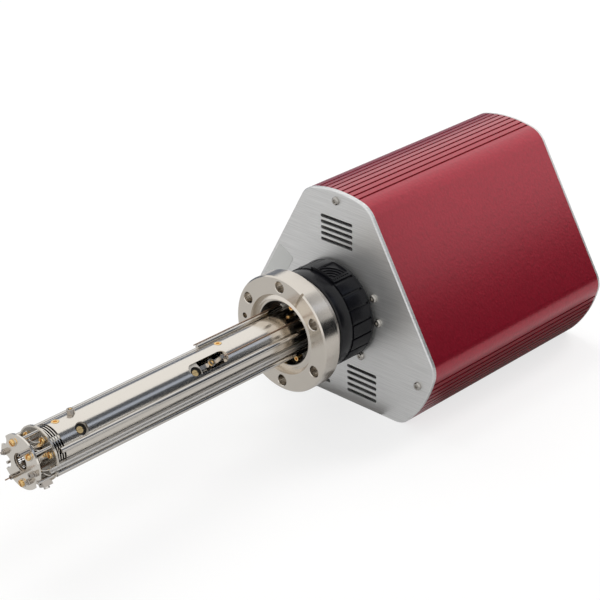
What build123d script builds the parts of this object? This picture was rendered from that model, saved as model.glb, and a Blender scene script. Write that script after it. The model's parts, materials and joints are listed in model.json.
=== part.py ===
"""Quadrupole mass spectrometer on a DN 40 CF flange: analyser probe, bayonet coupling, electronics box.

Frame: the origin is the centre of the flange's sealing face. The analyser points along -Y, the electronics
box lies along +Y, +Z is up and the flat bottom of the box is level. All sizes are in millimetres.
"""
import os
from math import cos, degrees, radians, sin, sqrt

from build123d import *

os.makedirs("parts", exist_ok=True)

# ---------------------------------------------------------------- driving dimensions
# Analyser tube
tube_diameter = 25.2
tube_wall = 0.9
tube_nose = 6.5
tube_tail_gap = 2.5
hole_diameter = 7.4
hole_setback = 7.1
hole_angle = 44.0
window_length = 27.6
window_station = 62.4
window_angle = 51.0
inner_ring_width = 5.0
front_ring_setback = 4.7
detector_station = 47.2
tube_screw_angles = (94.0, 215.0, 275.0)
tube_screw_head = 4.2
tube_screw_seat = 1.0
tube_screw_stand = 0.05
tube_screw_socket = 2.0
tube_screw_socket_depth = 0.7
screw_clearance = 0.1
socket_plug_depth = 3.0
socket_flange = 1.4
socket_neck_step = 3.6
socket_floor = 2.0

# Quadrupole: round rods, each 1.145 times the field radius, in ceramic holders
rod_ratio = 1.145
rod_cover = 3.08
rod_length = 96.0
rod_tail_station = 63.0
rod_fit = 0.02
holder_thickness = 7.0
holder_tail_station = 72.0
holder_hole = 4.0
holder_clearance = 0.1
pocket_diameter = 6.8
pocket_depth = 2.6
rod_screw_head = 3.8
rod_screw_height = 1.3
rod_screw_slot = 0.6
rod_screw_slot_depth = 0.5

# Hollow post on the front holder
post_angle = 96.0
post_setback = 1.8
tube_post_diameter = 4.2
tube_post_bore = 2.4
tube_post_rise = 2.6
tube_post_seat = 1.2
post_hollow = 2.0
post_conductor_diameter = 1.6

# Ion detector
front_ring_rim = 2.4
detector_ring_rim = 3.4
detector_cup_gap = 0.2
detector_cup_wall = 1.2
detector_cup_length = 24.0
detector_plate_rim = 2.0
detector_plate_thickness = 1.0
detector_aperture = 4.0

# Window contact
contact_angle = 49.0
arm_depth = 1.9
arm_width = 2.4
arm_thickness = 1.2
arm_overhang = 1.3
barrel_station = 60.5
barrel_diameter = 4.6
barrel_height = 1.4
eye_diameter = 3.4
eye_bore = 1.6
eye_height = 0.5
clamp_station = 53.8
clamp_length = 2.6
clamp_width = 2.0
clamp_cover = 0.9
window_wire_gap = 0.4

# Leads along the tube
lead_diameter = 3.0
lead_bore = 1.2
lead_bore_depth = 4.0
lead_gap = 0.1
right_lead_reach = 4.0
lower_lead_reach = 6.8
left_lead_reach = 12.0
lead_angles = {"right": 20.0, "lower": -35.0, "left": 155.0, "upper": 126.0, "rail": -14.0, "window": 49.0}
upper_lead_diameter = 2.4
upper_lead_front = 56.0
rail_width = 3.8
rail_thickness = 1.5
rail_groove = 1.6
rail_reach = 11.2
wire_diameter = 0.7
wire_gap = 0.05
wire_setback = 0.5
wire_tab_height = 1.4
wire_tab_length = 1.6

# CF flange, sized outward from the leads: bore, knife edge, gasket recess, bolts, rim
bore_clearance = 3.5
knife_land = 1.75
knife_depth = 0.9
recess_land = 3.2
recess_depth = 2.4
bolt_land = 1.9
bolt_hole = 6.6
bolt_edge = 5.65
bolt_count = 6
bolt_first_angle = 90.0
bolt_chamfer = 0.35
flange_thickness = 12.0
flange_chamfer = 0.8
leak_groove_width = 1.6
leak_groove_depth = 1.5
leak_groove_angle = 60.0
groove_overrun = 2.0
puller_hole = 3.4
puller_hole_angle = 175.0
puller_hole_depth = 5.0
puller_inset = 0.7
neck_wall = 2.3
neck_length = 20.0
disc_seat_depth = 20.0
disc_seat_step = 1.9

# Feedthrough
disc_thickness = 4.5
disc_gap = 0.1
pin_diameter = 1.5
pin_gap = 0.1
pin_tail = 14.0
outer_pin_angles = (77.0, -65.0, -95.0, -130.0, 190.0, 212.0)
outer_pin_inset = 1.2
ferrule_diameter = 3.0
ferrule_length = 4.2
ferrule_cup = 1.6
ferrule_cup_depth = 1.6
insulator_length = 6.3

# Ion source
lens_thickness = 0.5
lens_gap = 1.0
lens_count = 4
lens_rim = 0.2
lens_aperture = 5.0
spacer_diameter = 2.8
spacer_inset = 1.6
spacer_angles = (51.0, 171.0, 291.0)
source_rim = 1.0
source_length = 18.6
base_thickness = 1.2
base_opening_rim = 1.0
lead_notch_gap = 0.2
front_plate_thickness = 1.0
front_plate_fillet = 0.5
post_diameter = 1.7
post_inset = 1.2
post_angles = (82.0, 37.0, -35.0, -95.0, -125.0, 205.0)
cage_inset = 10.0
cage_aperture_step = 0.4
cage_wire = 0.4
cage_rim = 0.7
cage_rim_height = 0.8
cage_bars = 30
filament_wire = 0.5
filament_post = 1.0
filament_rise = 6.0
filament_gap = 2.0
filament_spans = ((120.0, 250.0), (-60.0, 70.0))
filament_post_step = 4.0
source_screw_head = 3.8
source_screw_height = 1.3
source_screw_slot = 0.7
screw_turn = 35.0
front_screw_places = {114.4: 4.55, 39.0: 5.03, -89.0: 3.2}
base_screw_angles = (62.0, 18.0, -100.0, 135.0, 185.0, 225.0)
base_screw_inset = 4.3
terminal_diameter = 3.2
terminal_height = 1.0
terminal_pin = 1.8
terminal_pin_height = 1.8
terminal_places = {172.1: 3.5, -51.8: 4.52, -6.3: 2.52}
steel_screw_head = 3.2
steel_screw_height = 1.4
steel_screw_place = (-24.4, 5.76)
source_tube_diameter = 2.5
source_tube_bore = 1.4
source_tube_length = 6.2
source_tube_depth = 2.0
source_tube_places = {50.0: 1.8, 261.4: 8.52}
inlet_wire_length = 5.2
block_angle = -62.0
block_inset = 1.0
block_width = 5.0
block_depth = 5.6
block_height = 5.4
block_bore = 1.8
block_chamfer = 0.6
block_screw_head = 3.2
block_screw_height = 1.3
block_screw_slot = 0.6

# Bites in the rim of the source's front plate: angle, distance outside the rim, radius
plate_bites = ((-161.0, -2.8, 3.6), (-161.0, 0.6, 4.2), (147.0, 1.0, 3.6), (-33.0, 2.4, 4.6))

# Bayonet coupling, sized outward from the flange's neck
hub_wall = 2.5
lug_rise = 2.4
lug_count = 3
lug_first_angle = 90.0
lug_sweep = 46.0
lug_width = 3.0
lug_entry = 6.0
collar_width = 6.6
collar_rim = 1.5
collar_chamfer = 0.8
collar_gap = 0.4
axial_gap = 0.3
part_gap = 0.1
running_fit = 0.05
bayonet_turn = 60.0
ring_clearance = 0.5
ring_wall = 1.8
ring_length = 25.7
ring_lip = 2.7
entry_lead = 0.8
ring_back_gap = 2.3
ring_chamfer = 0.8
band_rise = 0.7
band_width = 9.0
pad_rise = 1.1
pad_count = 21
pad_gap = 1.2
pad_setback = 0.8
rim_rise = 1.3
rim_width = 1.2
tab_angle = 77.0
tab_pads = 2
tab_rise = 0.7
tab_side_frame = 2.9
tab_end_frame = 1.0
tab_depth = 0.9
ridge_width = 0.5
ridge_height = 0.6
ridge_first = 3.4
ridge_pitch = 2.4
ridge_count = 4
sleeve_step = 1.2
sleeve_gap = 1.0
sleeve_clearance = 0.3
sleeve_base = 3.0
sleeve_base_rim = 4.0
sleeve_base_land = 4.0
shoulder_step = 2.0
shoulder_width = 3.0
socket_gap = 1.5
socket_fit = 0.3
socket_plug = 8.0
socket_hole_depth = 4.0

# Electronics box
plate_thickness = 2.5
box_length = 156.5
rear_thickness = 2.0
box_apothem = 56.7
box_corner_radius = 75.2
box_edge_radius = 14.0
box_drop = 3.0
shell_wall = 3.0
groove_count = 8
groove_pitch = 4.3
groove_width = 1.3
groove_depth = 0.9
plate_bevel = 0.6
box_corners = (90.0, -30.0, 210.0)
vent_width = 2.1
vent_rows = 5
top_vent_inset = 17.8
top_vent_pitch = 3.62
top_vent_length = 24.5
side_vent_inset = 7.8
side_vent_pitch = 3.98
side_vent_length = 23.0
side_vent_offset = 18.4
top_screw_inset = 5.7
side_screw_inset = 8.07
side_screw_turn = 6.57
screw_boss = 8.4
screw_hole = 3.4
screw_pilot = 2.6
coupling_screw_land = 1.8
coupling_screw_angles = (27.0, 0.0, -55.0, 153.0, 180.0, 235.0)

# Button-head screws
button_head = 5.0
button_height = 1.7
button_round = 0.65
button_socket = 2.0
button_socket_depth = 1.0
corner_screw_length = 9.0
coupling_screw_grip = 2.8

# Inside the box
board_front_margin = 8.5
board_rear_margin = 7.5
board_side_gap = 7.9
board_thickness = 1.6
board_corner = 3.0
standoff_height = 8.0
standoff_diameter = 6.0
standoff_inset = 8.0
board_screw_head = 5.5
board_screw_height = 2.0
shield_front_margin = 12.0
shield_rear_margin = 40.0
shield_left_margin = 7.0
shield_right_margin = 27.0
shield_height = 34.0
shield_corner = 2.0
capacitor_diameter = 12.0
capacitor_height = 22.0
capacitor_gap = 2.0
capacitor_count = 3
capacitor_pitch = 22.0

# On the back
jack_width = 15.6
jack_height = 13.2
jack_depth = 18.0
jack_stand = 0.8
jack_collar = 1.2
jack_collar_thickness = 1.0
jack_cavity_width = 12.0
jack_cavity_height = 7.0
jack_cavity_depth = 12.0
jack_latch_width = 6.2
jack_latch_height = 2.2
jack_latch_drop = 4.4
jack_place = (-26.0, -30.0)
panel_gap = 0.2
power_diameter = 12.0
power_flange = 15.0
power_body_length = 8.0
power_reach = 6.0
power_place = (26.0, -30.0)
power_ring_outer = 8.8
power_ring_inner = 6.8
power_pin = 1.1
power_pin_circle = 3.8
power_recess = 4.0
power_nut_size = 16.4
power_nut_height = 2.4
io_width = 34.0
io_height = 10.4
io_place = (0.0, -6.0)
io_flange_rim = 2.0
io_flange_thickness = 1.0
io_corner = 1.5
io_shell_width = 19.0
io_shell_height = 8.4
io_shell_corner = 2.0
io_reach = 5.0
io_body_width = 18.6
io_body_height = 8.0
io_body_depth = 9.0
io_pin = 1.0
io_pin_pitch = 2.8
io_row_offset = 1.5
io_pin_depth = 2.0
jackscrew_pitch = 25.0
jackscrew_size = 5.4
jackscrew_height = 4.0
led_count = 3
led_pitch = 8.0
led_height = 22.0
led_diameter = 3.0
led_flange = 4.4
led_flange_thickness = 4.0
led_stand = 0.8
stud_diameter = 4.0
stud_head = 8.0
stud_head_height = 2.4
stud_reach = 10.0
stud_place = (0.0, -46.0)
stud_nut_size = 8.0
stud_nut_height = 3.2
nut_gap = 0.1

# ---------------------------------------------------------------- values worked out from them
tube_radius = tube_diameter / 2
tube_bore_radius = tube_radius - tube_wall
holder_radius = tube_bore_radius - holder_clearance
rod_field_radius = (tube_bore_radius - rod_cover) / (1 + 2 * rod_ratio)
rod_radius = rod_field_radius * rod_ratio
rod_front = rod_tail_station + rod_length
tube_front = rod_front + tube_nose
hole_station = rod_front - hole_setback
post_station = hole_station - post_setback
front_ring_station = tube_front - front_ring_setback
lead_circle = tube_radius + lead_diameter / 2 + lead_gap
rail_circle = tube_radius + rail_thickness / 2 + lead_gap
upper_lead_circle = tube_radius + upper_lead_diameter / 2 + lead_gap
lead_fronts = {
    "right": tube_front + right_lead_reach,
    "lower": tube_front + lower_lead_reach,
    "left": tube_front + left_lead_reach,
}
rail_front = tube_front + rail_reach

bore_diameter = 2 * (lead_circle + lead_diameter / 2 + bore_clearance)
knife_diameter = bore_diameter + 2 * knife_land
recess_diameter = knife_diameter + 2 * recess_land
bolt_circle = recess_diameter + 2 * bolt_land + bolt_hole
flange_diameter = bolt_circle + 2 * bolt_edge
neck_diameter = bore_diameter + 2 * neck_wall
neck_tail = flange_thickness + neck_length

disc_back = disc_seat_depth
disc_front = disc_back - disc_thickness
insulator_front = disc_front - insulator_length
ferrule_front = insulator_front - ferrule_length
lead_tail = insulator_front
tube_tail = disc_front - tube_tail_gap
outer_pin_radius = bore_diameter / 2 - ferrule_diameter / 2 - outer_pin_inset

source_radius = lead_circle + source_rim
lens_radius = tube_radius - lens_rim
lens_pitch = lens_thickness + lens_gap
base_tail_station = tube_front + lens_count * lens_pitch + lens_gap
base_front_station = base_tail_station + base_thickness
plate_back_station = tube_front + source_length
source_front_station = plate_back_station + front_plate_thickness
cage_radius = source_radius - cage_inset
aperture_diameter = 2 * cage_radius - cage_aperture_step

collar_tail = flange_thickness + collar_width
ring_front = collar_tail + collar_gap
ring_tail = ring_front + ring_length
plate_front = ring_tail + ring_back_gap
hub_diameter = neck_diameter + 2 * hub_wall
lug_diameter = hub_diameter + 2 * lug_rise
lug_front = ring_front + ring_lip + axial_gap
lug_tail = lug_front + lug_width
ring_bore = lug_diameter + 2 * ring_clearance
ring_root_diameter = ring_bore + 2 * ring_wall
ring_band_diameter = ring_root_diameter + 2 * band_rise
ring_diameter = ring_root_diameter + 2 * pad_rise
collar_diameter = ring_bore + 2 * collar_rim
sleeve_front = lug_tail + sleeve_gap
sleeve_diameter = hub_diameter + 2 * sleeve_step
sleeve_bore = neck_diameter + 2 * sleeve_clearance
shoulder_front = sleeve_front + shoulder_step
shoulder_tail = shoulder_front + shoulder_width
back_lip_front = shoulder_tail + axial_gap
coupling_screw_radius = ring_diameter / 2 + coupling_screw_land

box_tail = plate_front + box_length
shell_front = plate_front + plate_thickness
shell_tail = box_tail - rear_thickness
shell_length = shell_tail - shell_front
box_floor = -box_drop - box_apothem
board_bottom = box_floor + shell_wall + standoff_height
board_top = board_bottom + board_thickness
board_front = shell_front + board_front_margin
board_length = shell_length - board_front_margin - board_rear_margin
cavity_radius = box_corner_radius - shell_wall
board_drop = board_bottom + board_thickness / 2 + box_drop
board_width = 2 * (sqrt(cavity_radius**2 - board_drop**2) - board_side_gap)


def station(y):
    """Plane across the axis at y, seen from the probe tip: X stays X, its second axis is Z.

    Its normal is -Y, so a negative extrusion goes towards the electronics box.
    """
    return Plane(origin=(0, y, 0), x_dir=(1, 0, 0), z_dir=(0, -1, 0))


def radial(angle, y, radius):
    """Plane that faces outward at an angle about the axis; its first axis runs along Y."""
    a = radians(angle)
    return Plane(origin=(radius * cos(a), y, radius * sin(a)), x_dir=(0, 1, 0), z_dir=(cos(a), 0, sin(a)))


def polar(radius, *angles):
    """Points on a circle about the axis, for Locations on a station plane."""
    return [(radius * cos(radians(a)), radius * sin(radians(a))) for a in angles]


def inset_points(places):
    """Points on the source's plate, each given as an angle and its distance inside the rim."""
    return [polar(source_radius - inset, angle)[0] for angle, inset in places.items()]


def save(piece, name):
    """Label a finished piece and write it."""
    piece.part.label = name
    export_step(piece.part, f"parts/{name}.step")


# ================================================================ CF flange
bolt_points = polar(bolt_circle / 2, *[bolt_first_angle + 360 / bolt_count * i for i in range(bolt_count)])
with BuildPart() as cf_flange:
    with BuildSketch(Plane.XY) as flange_profile:
        with BuildLine():
            Polyline(
                (knife_diameter / 2, knife_depth),
                (recess_diameter / 2, recess_depth),
                (recess_diameter / 2, 0),
                (flange_diameter / 2 - flange_chamfer, 0),
                (flange_diameter / 2, flange_chamfer),
                (flange_diameter / 2, flange_thickness - flange_chamfer),
                (flange_diameter / 2 - flange_chamfer, flange_thickness),
                (neck_diameter / 2, flange_thickness),
                (neck_diameter / 2, neck_tail),
                (bore_diameter / 2 - disc_seat_step, neck_tail),
                (bore_diameter / 2 - disc_seat_step, disc_seat_depth),
                (bore_diameter / 2, disc_seat_depth),
                (bore_diameter / 2, recess_depth),
                (knife_diameter / 2, recess_depth),
                close=True,
            )
        make_face()
    revolve(axis=Axis.Y)
    with BuildSketch(station(0)):
        with Locations(*bolt_points):
            Circle(bolt_hole / 2)
    extrude(amount=-flange_thickness, mode=Mode.SUBTRACT)
    front_rims = cf_flange.edges().filter_by(GeomType.CIRCLE).group_by(Axis.Y)[0]
    chamfer([rim for rim in front_rims if rim.radius < bolt_hole], bolt_chamfer)
    groove_middle = (recess_diameter + flange_diameter + groove_overrun) / 4
    groove_run = (flange_diameter - recess_diameter + groove_overrun) / 2
    for side in (leak_groove_angle, leak_groove_angle + 180):
        with BuildSketch(station(0)):
            with Locations(*polar(groove_middle, side)):
                Rectangle(groove_run, leak_groove_width, rotation=side)
        extrude(amount=-leak_groove_depth, mode=Mode.SUBTRACT)
    with BuildSketch(station(0)):
        with Locations(*polar(bolt_circle / 2 - puller_inset, puller_hole_angle)):
            Circle(puller_hole / 2)
    extrude(amount=-puller_hole_depth, mode=Mode.SUBTRACT)
save(cf_flange, "cf_flange")

# ================================================================ feedthrough at the back of the neck
inner_pins = polar(lead_circle, *[lead_angles[n] for n in ("right", "lower", "left", "upper", "window")])
outer_pins = polar(outer_pin_radius, *outer_pin_angles)
pin_points = inner_pins + outer_pins

with BuildPart() as feedthrough_disc:
    with BuildSketch(station(disc_front)):
        Circle(bore_diameter / 2 - disc_gap)
        with Locations(*pin_points):
            Circle(pin_diameter / 2 + pin_gap, mode=Mode.SUBTRACT)
    extrude(amount=-disc_thickness)
save(feedthrough_disc, "feedthrough_disc")

with BuildPart() as feedthrough_insulators:
    with BuildSketch(station(insulator_front)):
        with Locations(*pin_points):
            Circle(ferrule_diameter / 2)
            Circle(pin_diameter / 2 + pin_gap, mode=Mode.SUBTRACT)
    extrude(amount=-insulator_length)
save(feedthrough_insulators, "feedthrough_insulators")

with BuildPart() as feedthrough_pins:
    with BuildSketch(station(insulator_front)):
        with Locations(*pin_points):
            Circle(pin_diameter / 2)
    extrude(amount=-(disc_back + pin_tail - insulator_front))
save(feedthrough_pins, "feedthrough_pins")

with BuildPart() as contact_ferrules:
    with BuildSketch(station(ferrule_front)):
        with Locations(*outer_pins):
            Circle(ferrule_diameter / 2)
    extrude(amount=-ferrule_length)
    with BuildSketch(station(ferrule_front)):
        with Locations(*outer_pins):
            Circle(ferrule_cup / 2)
    extrude(amount=-ferrule_cup_depth, mode=Mode.SUBTRACT)
save(contact_ferrules, "contact_ferrules")

# ================================================================ analyser tube and what carries it
with BuildPart() as analyser_tube:
    with BuildSketch(station(-tube_front)):
        Circle(tube_radius)
        Circle(tube_bore_radius, mode=Mode.SUBTRACT)
    extrude(amount=-(tube_front + tube_tail))
    for side in (hole_angle, hole_angle + 180):
        with BuildSketch(radial(side, -hole_station, 0)):
            Circle(hole_diameter / 2)
        extrude(amount=tube_diameter, mode=Mode.SUBTRACT)
    with BuildSketch(radial(window_angle, -window_station, 0)):
        SlotOverall(window_length, hole_diameter)
    extrude(amount=tube_diameter, mode=Mode.SUBTRACT)
    for y in (-front_ring_station, -detector_station):
        for angle in tube_screw_angles:
            with BuildSketch(radial(angle, y, 0)):
                Circle(tube_screw_head / 2 + screw_clearance)
            extrude(amount=tube_diameter, mode=Mode.SUBTRACT)
    with BuildSketch(radial(post_angle, -post_station, 0)):
        Circle(tube_post_diameter / 2 + screw_clearance)
    extrude(amount=tube_diameter, mode=Mode.SUBTRACT)
save(analyser_tube, "analyser_tube")

with BuildPart() as tube_socket:
    with BuildSketch(station(tube_tail - socket_plug_depth)):
        Circle(holder_radius)
    extrude(amount=-socket_plug_depth)
    with BuildSketch(station(tube_tail)):
        Circle(lens_radius)
    extrude(amount=-socket_flange)
    with BuildSketch(station(tube_tail + socket_flange)):
        Circle(tube_radius - socket_neck_step)
    extrude(amount=-(disc_front - tube_tail - socket_flange))
    with BuildSketch(station(tube_tail - socket_plug_depth)):
        Circle(tube_radius - socket_neck_step)
    extrude(amount=-socket_floor, mode=Mode.SUBTRACT)
save(tube_socket, "tube_socket")

# ================================================================ quadrupole rods in their ceramic holders
rod_angles = [hole_angle + 90 * i for i in range(4)]
rod_points = polar(rod_field_radius + rod_radius, *rod_angles)
with BuildPart() as quadrupole_rods:
    with BuildSketch(station(-rod_front)):
        with Locations(*rod_points):
            Circle(rod_radius)
    extrude(amount=-rod_length)
save(quadrupole_rods, "quadrupole_rods")

pocket_floor = holder_radius - pocket_depth
for holder_name, middle in (("front_rod_holder", hole_station), ("rear_rod_holder", holder_tail_station)):
    with BuildPart() as holder:
        with BuildSketch(station(-middle - holder_thickness / 2)):
            Circle(holder_radius)
            Circle(holder_hole / 2, mode=Mode.SUBTRACT)
            with Locations(*rod_points):
                Circle(rod_radius + rod_fit, mode=Mode.SUBTRACT)
        extrude(amount=-holder_thickness)
        for side in rod_angles:
            with BuildSketch(radial(side, -middle, pocket_floor)):
                Circle(pocket_diameter / 2)
            extrude(amount=2 * pocket_depth, mode=Mode.SUBTRACT)
        if middle == hole_station:
            with BuildSketch(radial(post_angle, -post_station, holder_radius - tube_post_seat)):
                Circle(tube_post_diameter / 2 + screw_clearance)
            extrude(amount=2 * tube_post_seat, mode=Mode.SUBTRACT)
    save(holder, holder_name)

with BuildPart() as rod_screws:
    for middle in (hole_station, holder_tail_station):
        for side in rod_angles:
            with BuildSketch(radial(side, -middle, pocket_floor)):
                Circle(rod_screw_head / 2)
            extrude(amount=rod_screw_height)
            with BuildSketch(radial(side, -middle, pocket_floor + rod_screw_height)):
                Rectangle(rod_screw_head + rod_screw_slot, rod_screw_slot)
            extrude(amount=-rod_screw_slot_depth, mode=Mode.SUBTRACT)
save(rod_screws, "rod_screws")

# Hollow post that comes out of the front holder through the tube
post_seat_radius = holder_radius - tube_post_seat
post_top_radius = tube_radius + tube_post_rise
with BuildPart() as tube_post:
    with BuildSketch(radial(post_angle, -post_station, post_seat_radius)):
        Circle(tube_post_diameter / 2)
    extrude(amount=post_top_radius - post_seat_radius)
    with BuildSketch(radial(post_angle, -post_station, post_top_radius)):
        Circle(tube_post_bore / 2)
    extrude(amount=-post_hollow, mode=Mode.SUBTRACT)
save(tube_post, "tube_post")

with BuildPart() as post_conductor:
    with BuildSketch(radial(post_angle, -post_station, post_top_radius - post_hollow)):
        Circle(post_conductor_diameter / 2)
    extrude(amount=post_hollow + wire_gap)
save(post_conductor, "post_conductor")

# Rings inside the tube that its flush screws hold, and the ion detector in the rear one
inner_rings = {
    "front_ring": (front_ring_station, front_ring_rim),
    "detector_ring": (detector_station, detector_ring_rim),
}
screw_seat_radius = holder_radius - tube_screw_seat
for ring_name, (middle, rim) in inner_rings.items():
    with BuildPart() as inner_ring:
        with BuildSketch(station(-middle - inner_ring_width / 2)):
            Circle(holder_radius)
            Circle(holder_radius - rim, mode=Mode.SUBTRACT)
        extrude(amount=-inner_ring_width)
        for angle in tube_screw_angles:
            with BuildSketch(radial(angle, -middle, screw_seat_radius)):
                Circle(tube_screw_head / 2 + screw_clearance)
            extrude(amount=2 * tube_screw_seat, mode=Mode.SUBTRACT)
    save(inner_ring, ring_name)

with BuildPart() as tube_screws:
    for middle in (front_ring_station, detector_station):
        for angle in tube_screw_angles:
            with BuildSketch(radial(angle, -middle, screw_seat_radius)):
                Circle(tube_screw_head / 2)
            extrude(amount=tube_radius + tube_screw_stand - screw_seat_radius)
            with BuildSketch(radial(angle, -middle, tube_radius + tube_screw_stand)):
                Circle(tube_screw_socket / 2)
            extrude(amount=-tube_screw_socket_depth, mode=Mode.SUBTRACT)
save(tube_screws, "tube_screws")

detector_front = detector_station + inner_ring_width / 2
detector_cup_radius = holder_radius - detector_ring_rim - detector_cup_gap
with BuildPart() as detector_cup:
    with BuildSketch(station(-detector_front - detector_plate_thickness)):
        Circle(holder_radius - detector_plate_rim)
        Circle(detector_aperture / 2, mode=Mode.SUBTRACT)
    extrude(amount=-detector_plate_thickness)
    with BuildSketch(station(-detector_front)):
        Circle(detector_cup_radius)
    extrude(amount=-detector_cup_length)
    with BuildSketch(station(-detector_front)):
        Circle(detector_cup_radius - detector_cup_wall)
    extrude(amount=-(detector_cup_length - detector_cup_wall), mode=Mode.SUBTRACT)
save(detector_cup, "detector_cup")

# Contact that brings the rod supply to the window: arm, barrel, eye and wire clamp
arm_front = holder_tail_station - holder_thickness / 2
arm_tail = clamp_station - arm_overhang
arm_radius = holder_radius - arm_depth
arm_top = arm_radius + arm_thickness
window_wire_circle = tube_radius + wire_diameter / 2 + window_wire_gap
with BuildPart() as contact_arm:
    with BuildSketch(radial(contact_angle, -(arm_front + arm_tail) / 2, arm_radius)):
        Rectangle(arm_front - arm_tail, arm_width)
    extrude(amount=arm_thickness)
    with BuildSketch(radial(contact_angle, -clamp_station, arm_top)):
        Rectangle(clamp_length, clamp_width)
    extrude(amount=window_wire_circle - arm_top + clamp_cover)
    with BuildSketch(radial(contact_angle, -barrel_station, arm_top)):
        Circle(barrel_diameter / 2)
    extrude(amount=barrel_height)
    with BuildSketch(station(-clamp_station - clamp_length)):
        with Locations(*polar(window_wire_circle, contact_angle)):
            Circle(wire_diameter / 2 + wire_gap)
    extrude(amount=-2 * clamp_length, mode=Mode.SUBTRACT)
save(contact_arm, "contact_arm")

with BuildPart() as contact_eye:
    with BuildSketch(radial(contact_angle, -barrel_station, arm_top + barrel_height)):
        Circle(eye_diameter / 2)
        Circle(eye_bore / 2, mode=Mode.SUBTRACT)
    extrude(amount=eye_height)
save(contact_eye, "contact_eye")

# ================================================================ lens stack between tube and source
with BuildPart() as lens_plates:
    for i in range(lens_count):
        with BuildSketch(station(-tube_front - (i + 1) * lens_pitch)):
            Circle(lens_radius)
            Circle(lens_aperture / 2, mode=Mode.SUBTRACT)
        extrude(amount=-lens_thickness)
save(lens_plates, "lens_plates")

with BuildPart() as lens_spacers:
    for i in range(lens_count + 1):
        with BuildSketch(station(-tube_front - i * lens_pitch - lens_gap)):
            with Locations(*polar(lens_radius - spacer_inset, *spacer_angles)):
                Circle(spacer_diameter / 2)
        extrude(amount=-lens_gap)
save(lens_spacers, "lens_spacers")

# ================================================================ ion source
post_points = polar(source_radius - post_inset, *post_angles)
base_screw_points = polar(source_radius - base_screw_inset, *base_screw_angles)
notch_width = lead_diameter + 2 * lead_notch_gap
rail_notch = (3 * rail_thickness + 2 * lead_notch_gap, rail_width + 2 * lead_notch_gap)
with BuildPart() as source_base:
    with BuildSketch(station(-base_front_station)):
        Circle(source_radius)
        Circle(lens_aperture / 2 + base_opening_rim, mode=Mode.SUBTRACT)
        with Locations(*polar(lead_circle, lead_angles["left"])):
            Circle(notch_width / 2, mode=Mode.SUBTRACT)
        with Locations(*polar(lead_circle + lead_diameter, lead_angles["left"])):
            Rectangle(2 * lead_diameter, notch_width, rotation=lead_angles["left"], mode=Mode.SUBTRACT)
        with Locations(*polar(rail_circle + rail_thickness, lead_angles["rail"])):
            Rectangle(*rail_notch, rotation=lead_angles["rail"], mode=Mode.SUBTRACT)
    extrude(amount=-base_thickness)
save(source_base, "source_base")

with BuildPart() as source_front_plate:
    with BuildSketch(station(-source_front_station)):
        Circle(source_radius)
        Circle(aperture_diameter / 2, mode=Mode.SUBTRACT)
        for angle, outside, bite_radius in plate_bites:
            with Locations(*polar(source_radius + outside, angle)):
                Circle(bite_radius, mode=Mode.SUBTRACT)
    extrude(amount=-front_plate_thickness)
    fillet(source_front_plate.edges().filter_by(Axis.Y), front_plate_fillet)
save(source_front_plate, "source_front_plate")

with BuildPart() as source_posts:
    with BuildSketch(station(-plate_back_station)):
        with Locations(*post_points):
            Circle(post_diameter / 2)
    extrude(amount=-(plate_back_station - base_front_station))
save(source_posts, "source_posts")

cage_length = plate_back_station - base_front_station
with BuildPart() as ion_cage:
    for y in (-plate_back_station, -base_front_station - cage_rim_height):
        with BuildSketch(station(y)):
            Circle(cage_radius)
            Circle(cage_radius - cage_rim, mode=Mode.SUBTRACT)
        extrude(amount=-cage_rim_height)
    with BuildSketch(station(-plate_back_station)):
        with PolarLocations(cage_radius - cage_rim / 2, cage_bars):
            Rectangle(cage_wire, cage_wire)
    extrude(amount=-cage_length)
    with BuildSketch(station(-base_front_station - cage_length / 2)):
        Circle(cage_radius - (cage_rim - cage_wire) / 2)
        Circle(cage_radius - (cage_rim + cage_wire) / 2, mode=Mode.SUBTRACT)
    extrude(amount=-cage_wire)
save(ion_cage, "ion_cage")

filament_radius = cage_radius + filament_gap
filament_station = base_front_station + filament_rise
with BuildPart() as filaments:
    for start, stop in filament_spans:
        with BuildLine(station(-filament_station)) as filament_path:
            CenterArc((0, 0), filament_radius, start, stop - start)
        with BuildSketch(Plane(origin=filament_path.line @ 0, z_dir=filament_path.line % 0)):
            Circle(filament_wire / 2)
        sweep()
        with BuildSketch(station(-filament_station)):
            with Locations(*polar(filament_radius, start + filament_post_step, stop - filament_post_step)):
                Circle(filament_post / 2)
        extrude(amount=-(filament_station - base_front_station))
save(filaments, "filaments")

# Gold slotted screws on the front plate and on the base plate
front_screw_points = inset_points(front_screw_places)
gold_sets = ((-source_front_station, front_screw_points), (-base_front_station, base_screw_points))
with BuildPart() as source_gold_screws:
    for y, points in gold_sets:
        with BuildSketch(station(y)):
            with Locations(*points):
                Circle(source_screw_head / 2)
        extrude(amount=source_screw_height)
        with BuildSketch(station(y - source_screw_height)):
            with Locations(*points):
                Rectangle(source_screw_head + source_screw_slot, source_screw_slot, rotation=screw_turn)
        extrude(amount=-source_screw_height / 2, mode=Mode.SUBTRACT)
save(source_gold_screws, "source_gold_screws")

# Terminals and a steel screw on the front plate
terminal_points = inset_points(terminal_places)
steel_screw_point = inset_points(dict([steel_screw_place]))
with BuildPart() as source_terminals:
    with BuildSketch(station(-source_front_station)):
        with Locations(*terminal_points):
            Circle(terminal_diameter / 2)
    extrude(amount=terminal_height)
    with BuildSketch(station(-source_front_station - terminal_height)):
        with Locations(*terminal_points):
            Circle(terminal_pin / 2)
    extrude(amount=terminal_pin_height)
    with BuildSketch(station(-source_front_station)):
        with Locations(*steel_screw_point):
            Circle(steel_screw_head / 2)
    extrude(amount=steel_screw_height)
    with BuildSketch(station(-source_front_station - steel_screw_height)):
        with Locations(*steel_screw_point):
            RegularPolygon(steel_screw_head / 4, 6)
    extrude(amount=-steel_screw_height / 2, mode=Mode.SUBTRACT)
save(source_terminals, "source_terminals")

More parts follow.
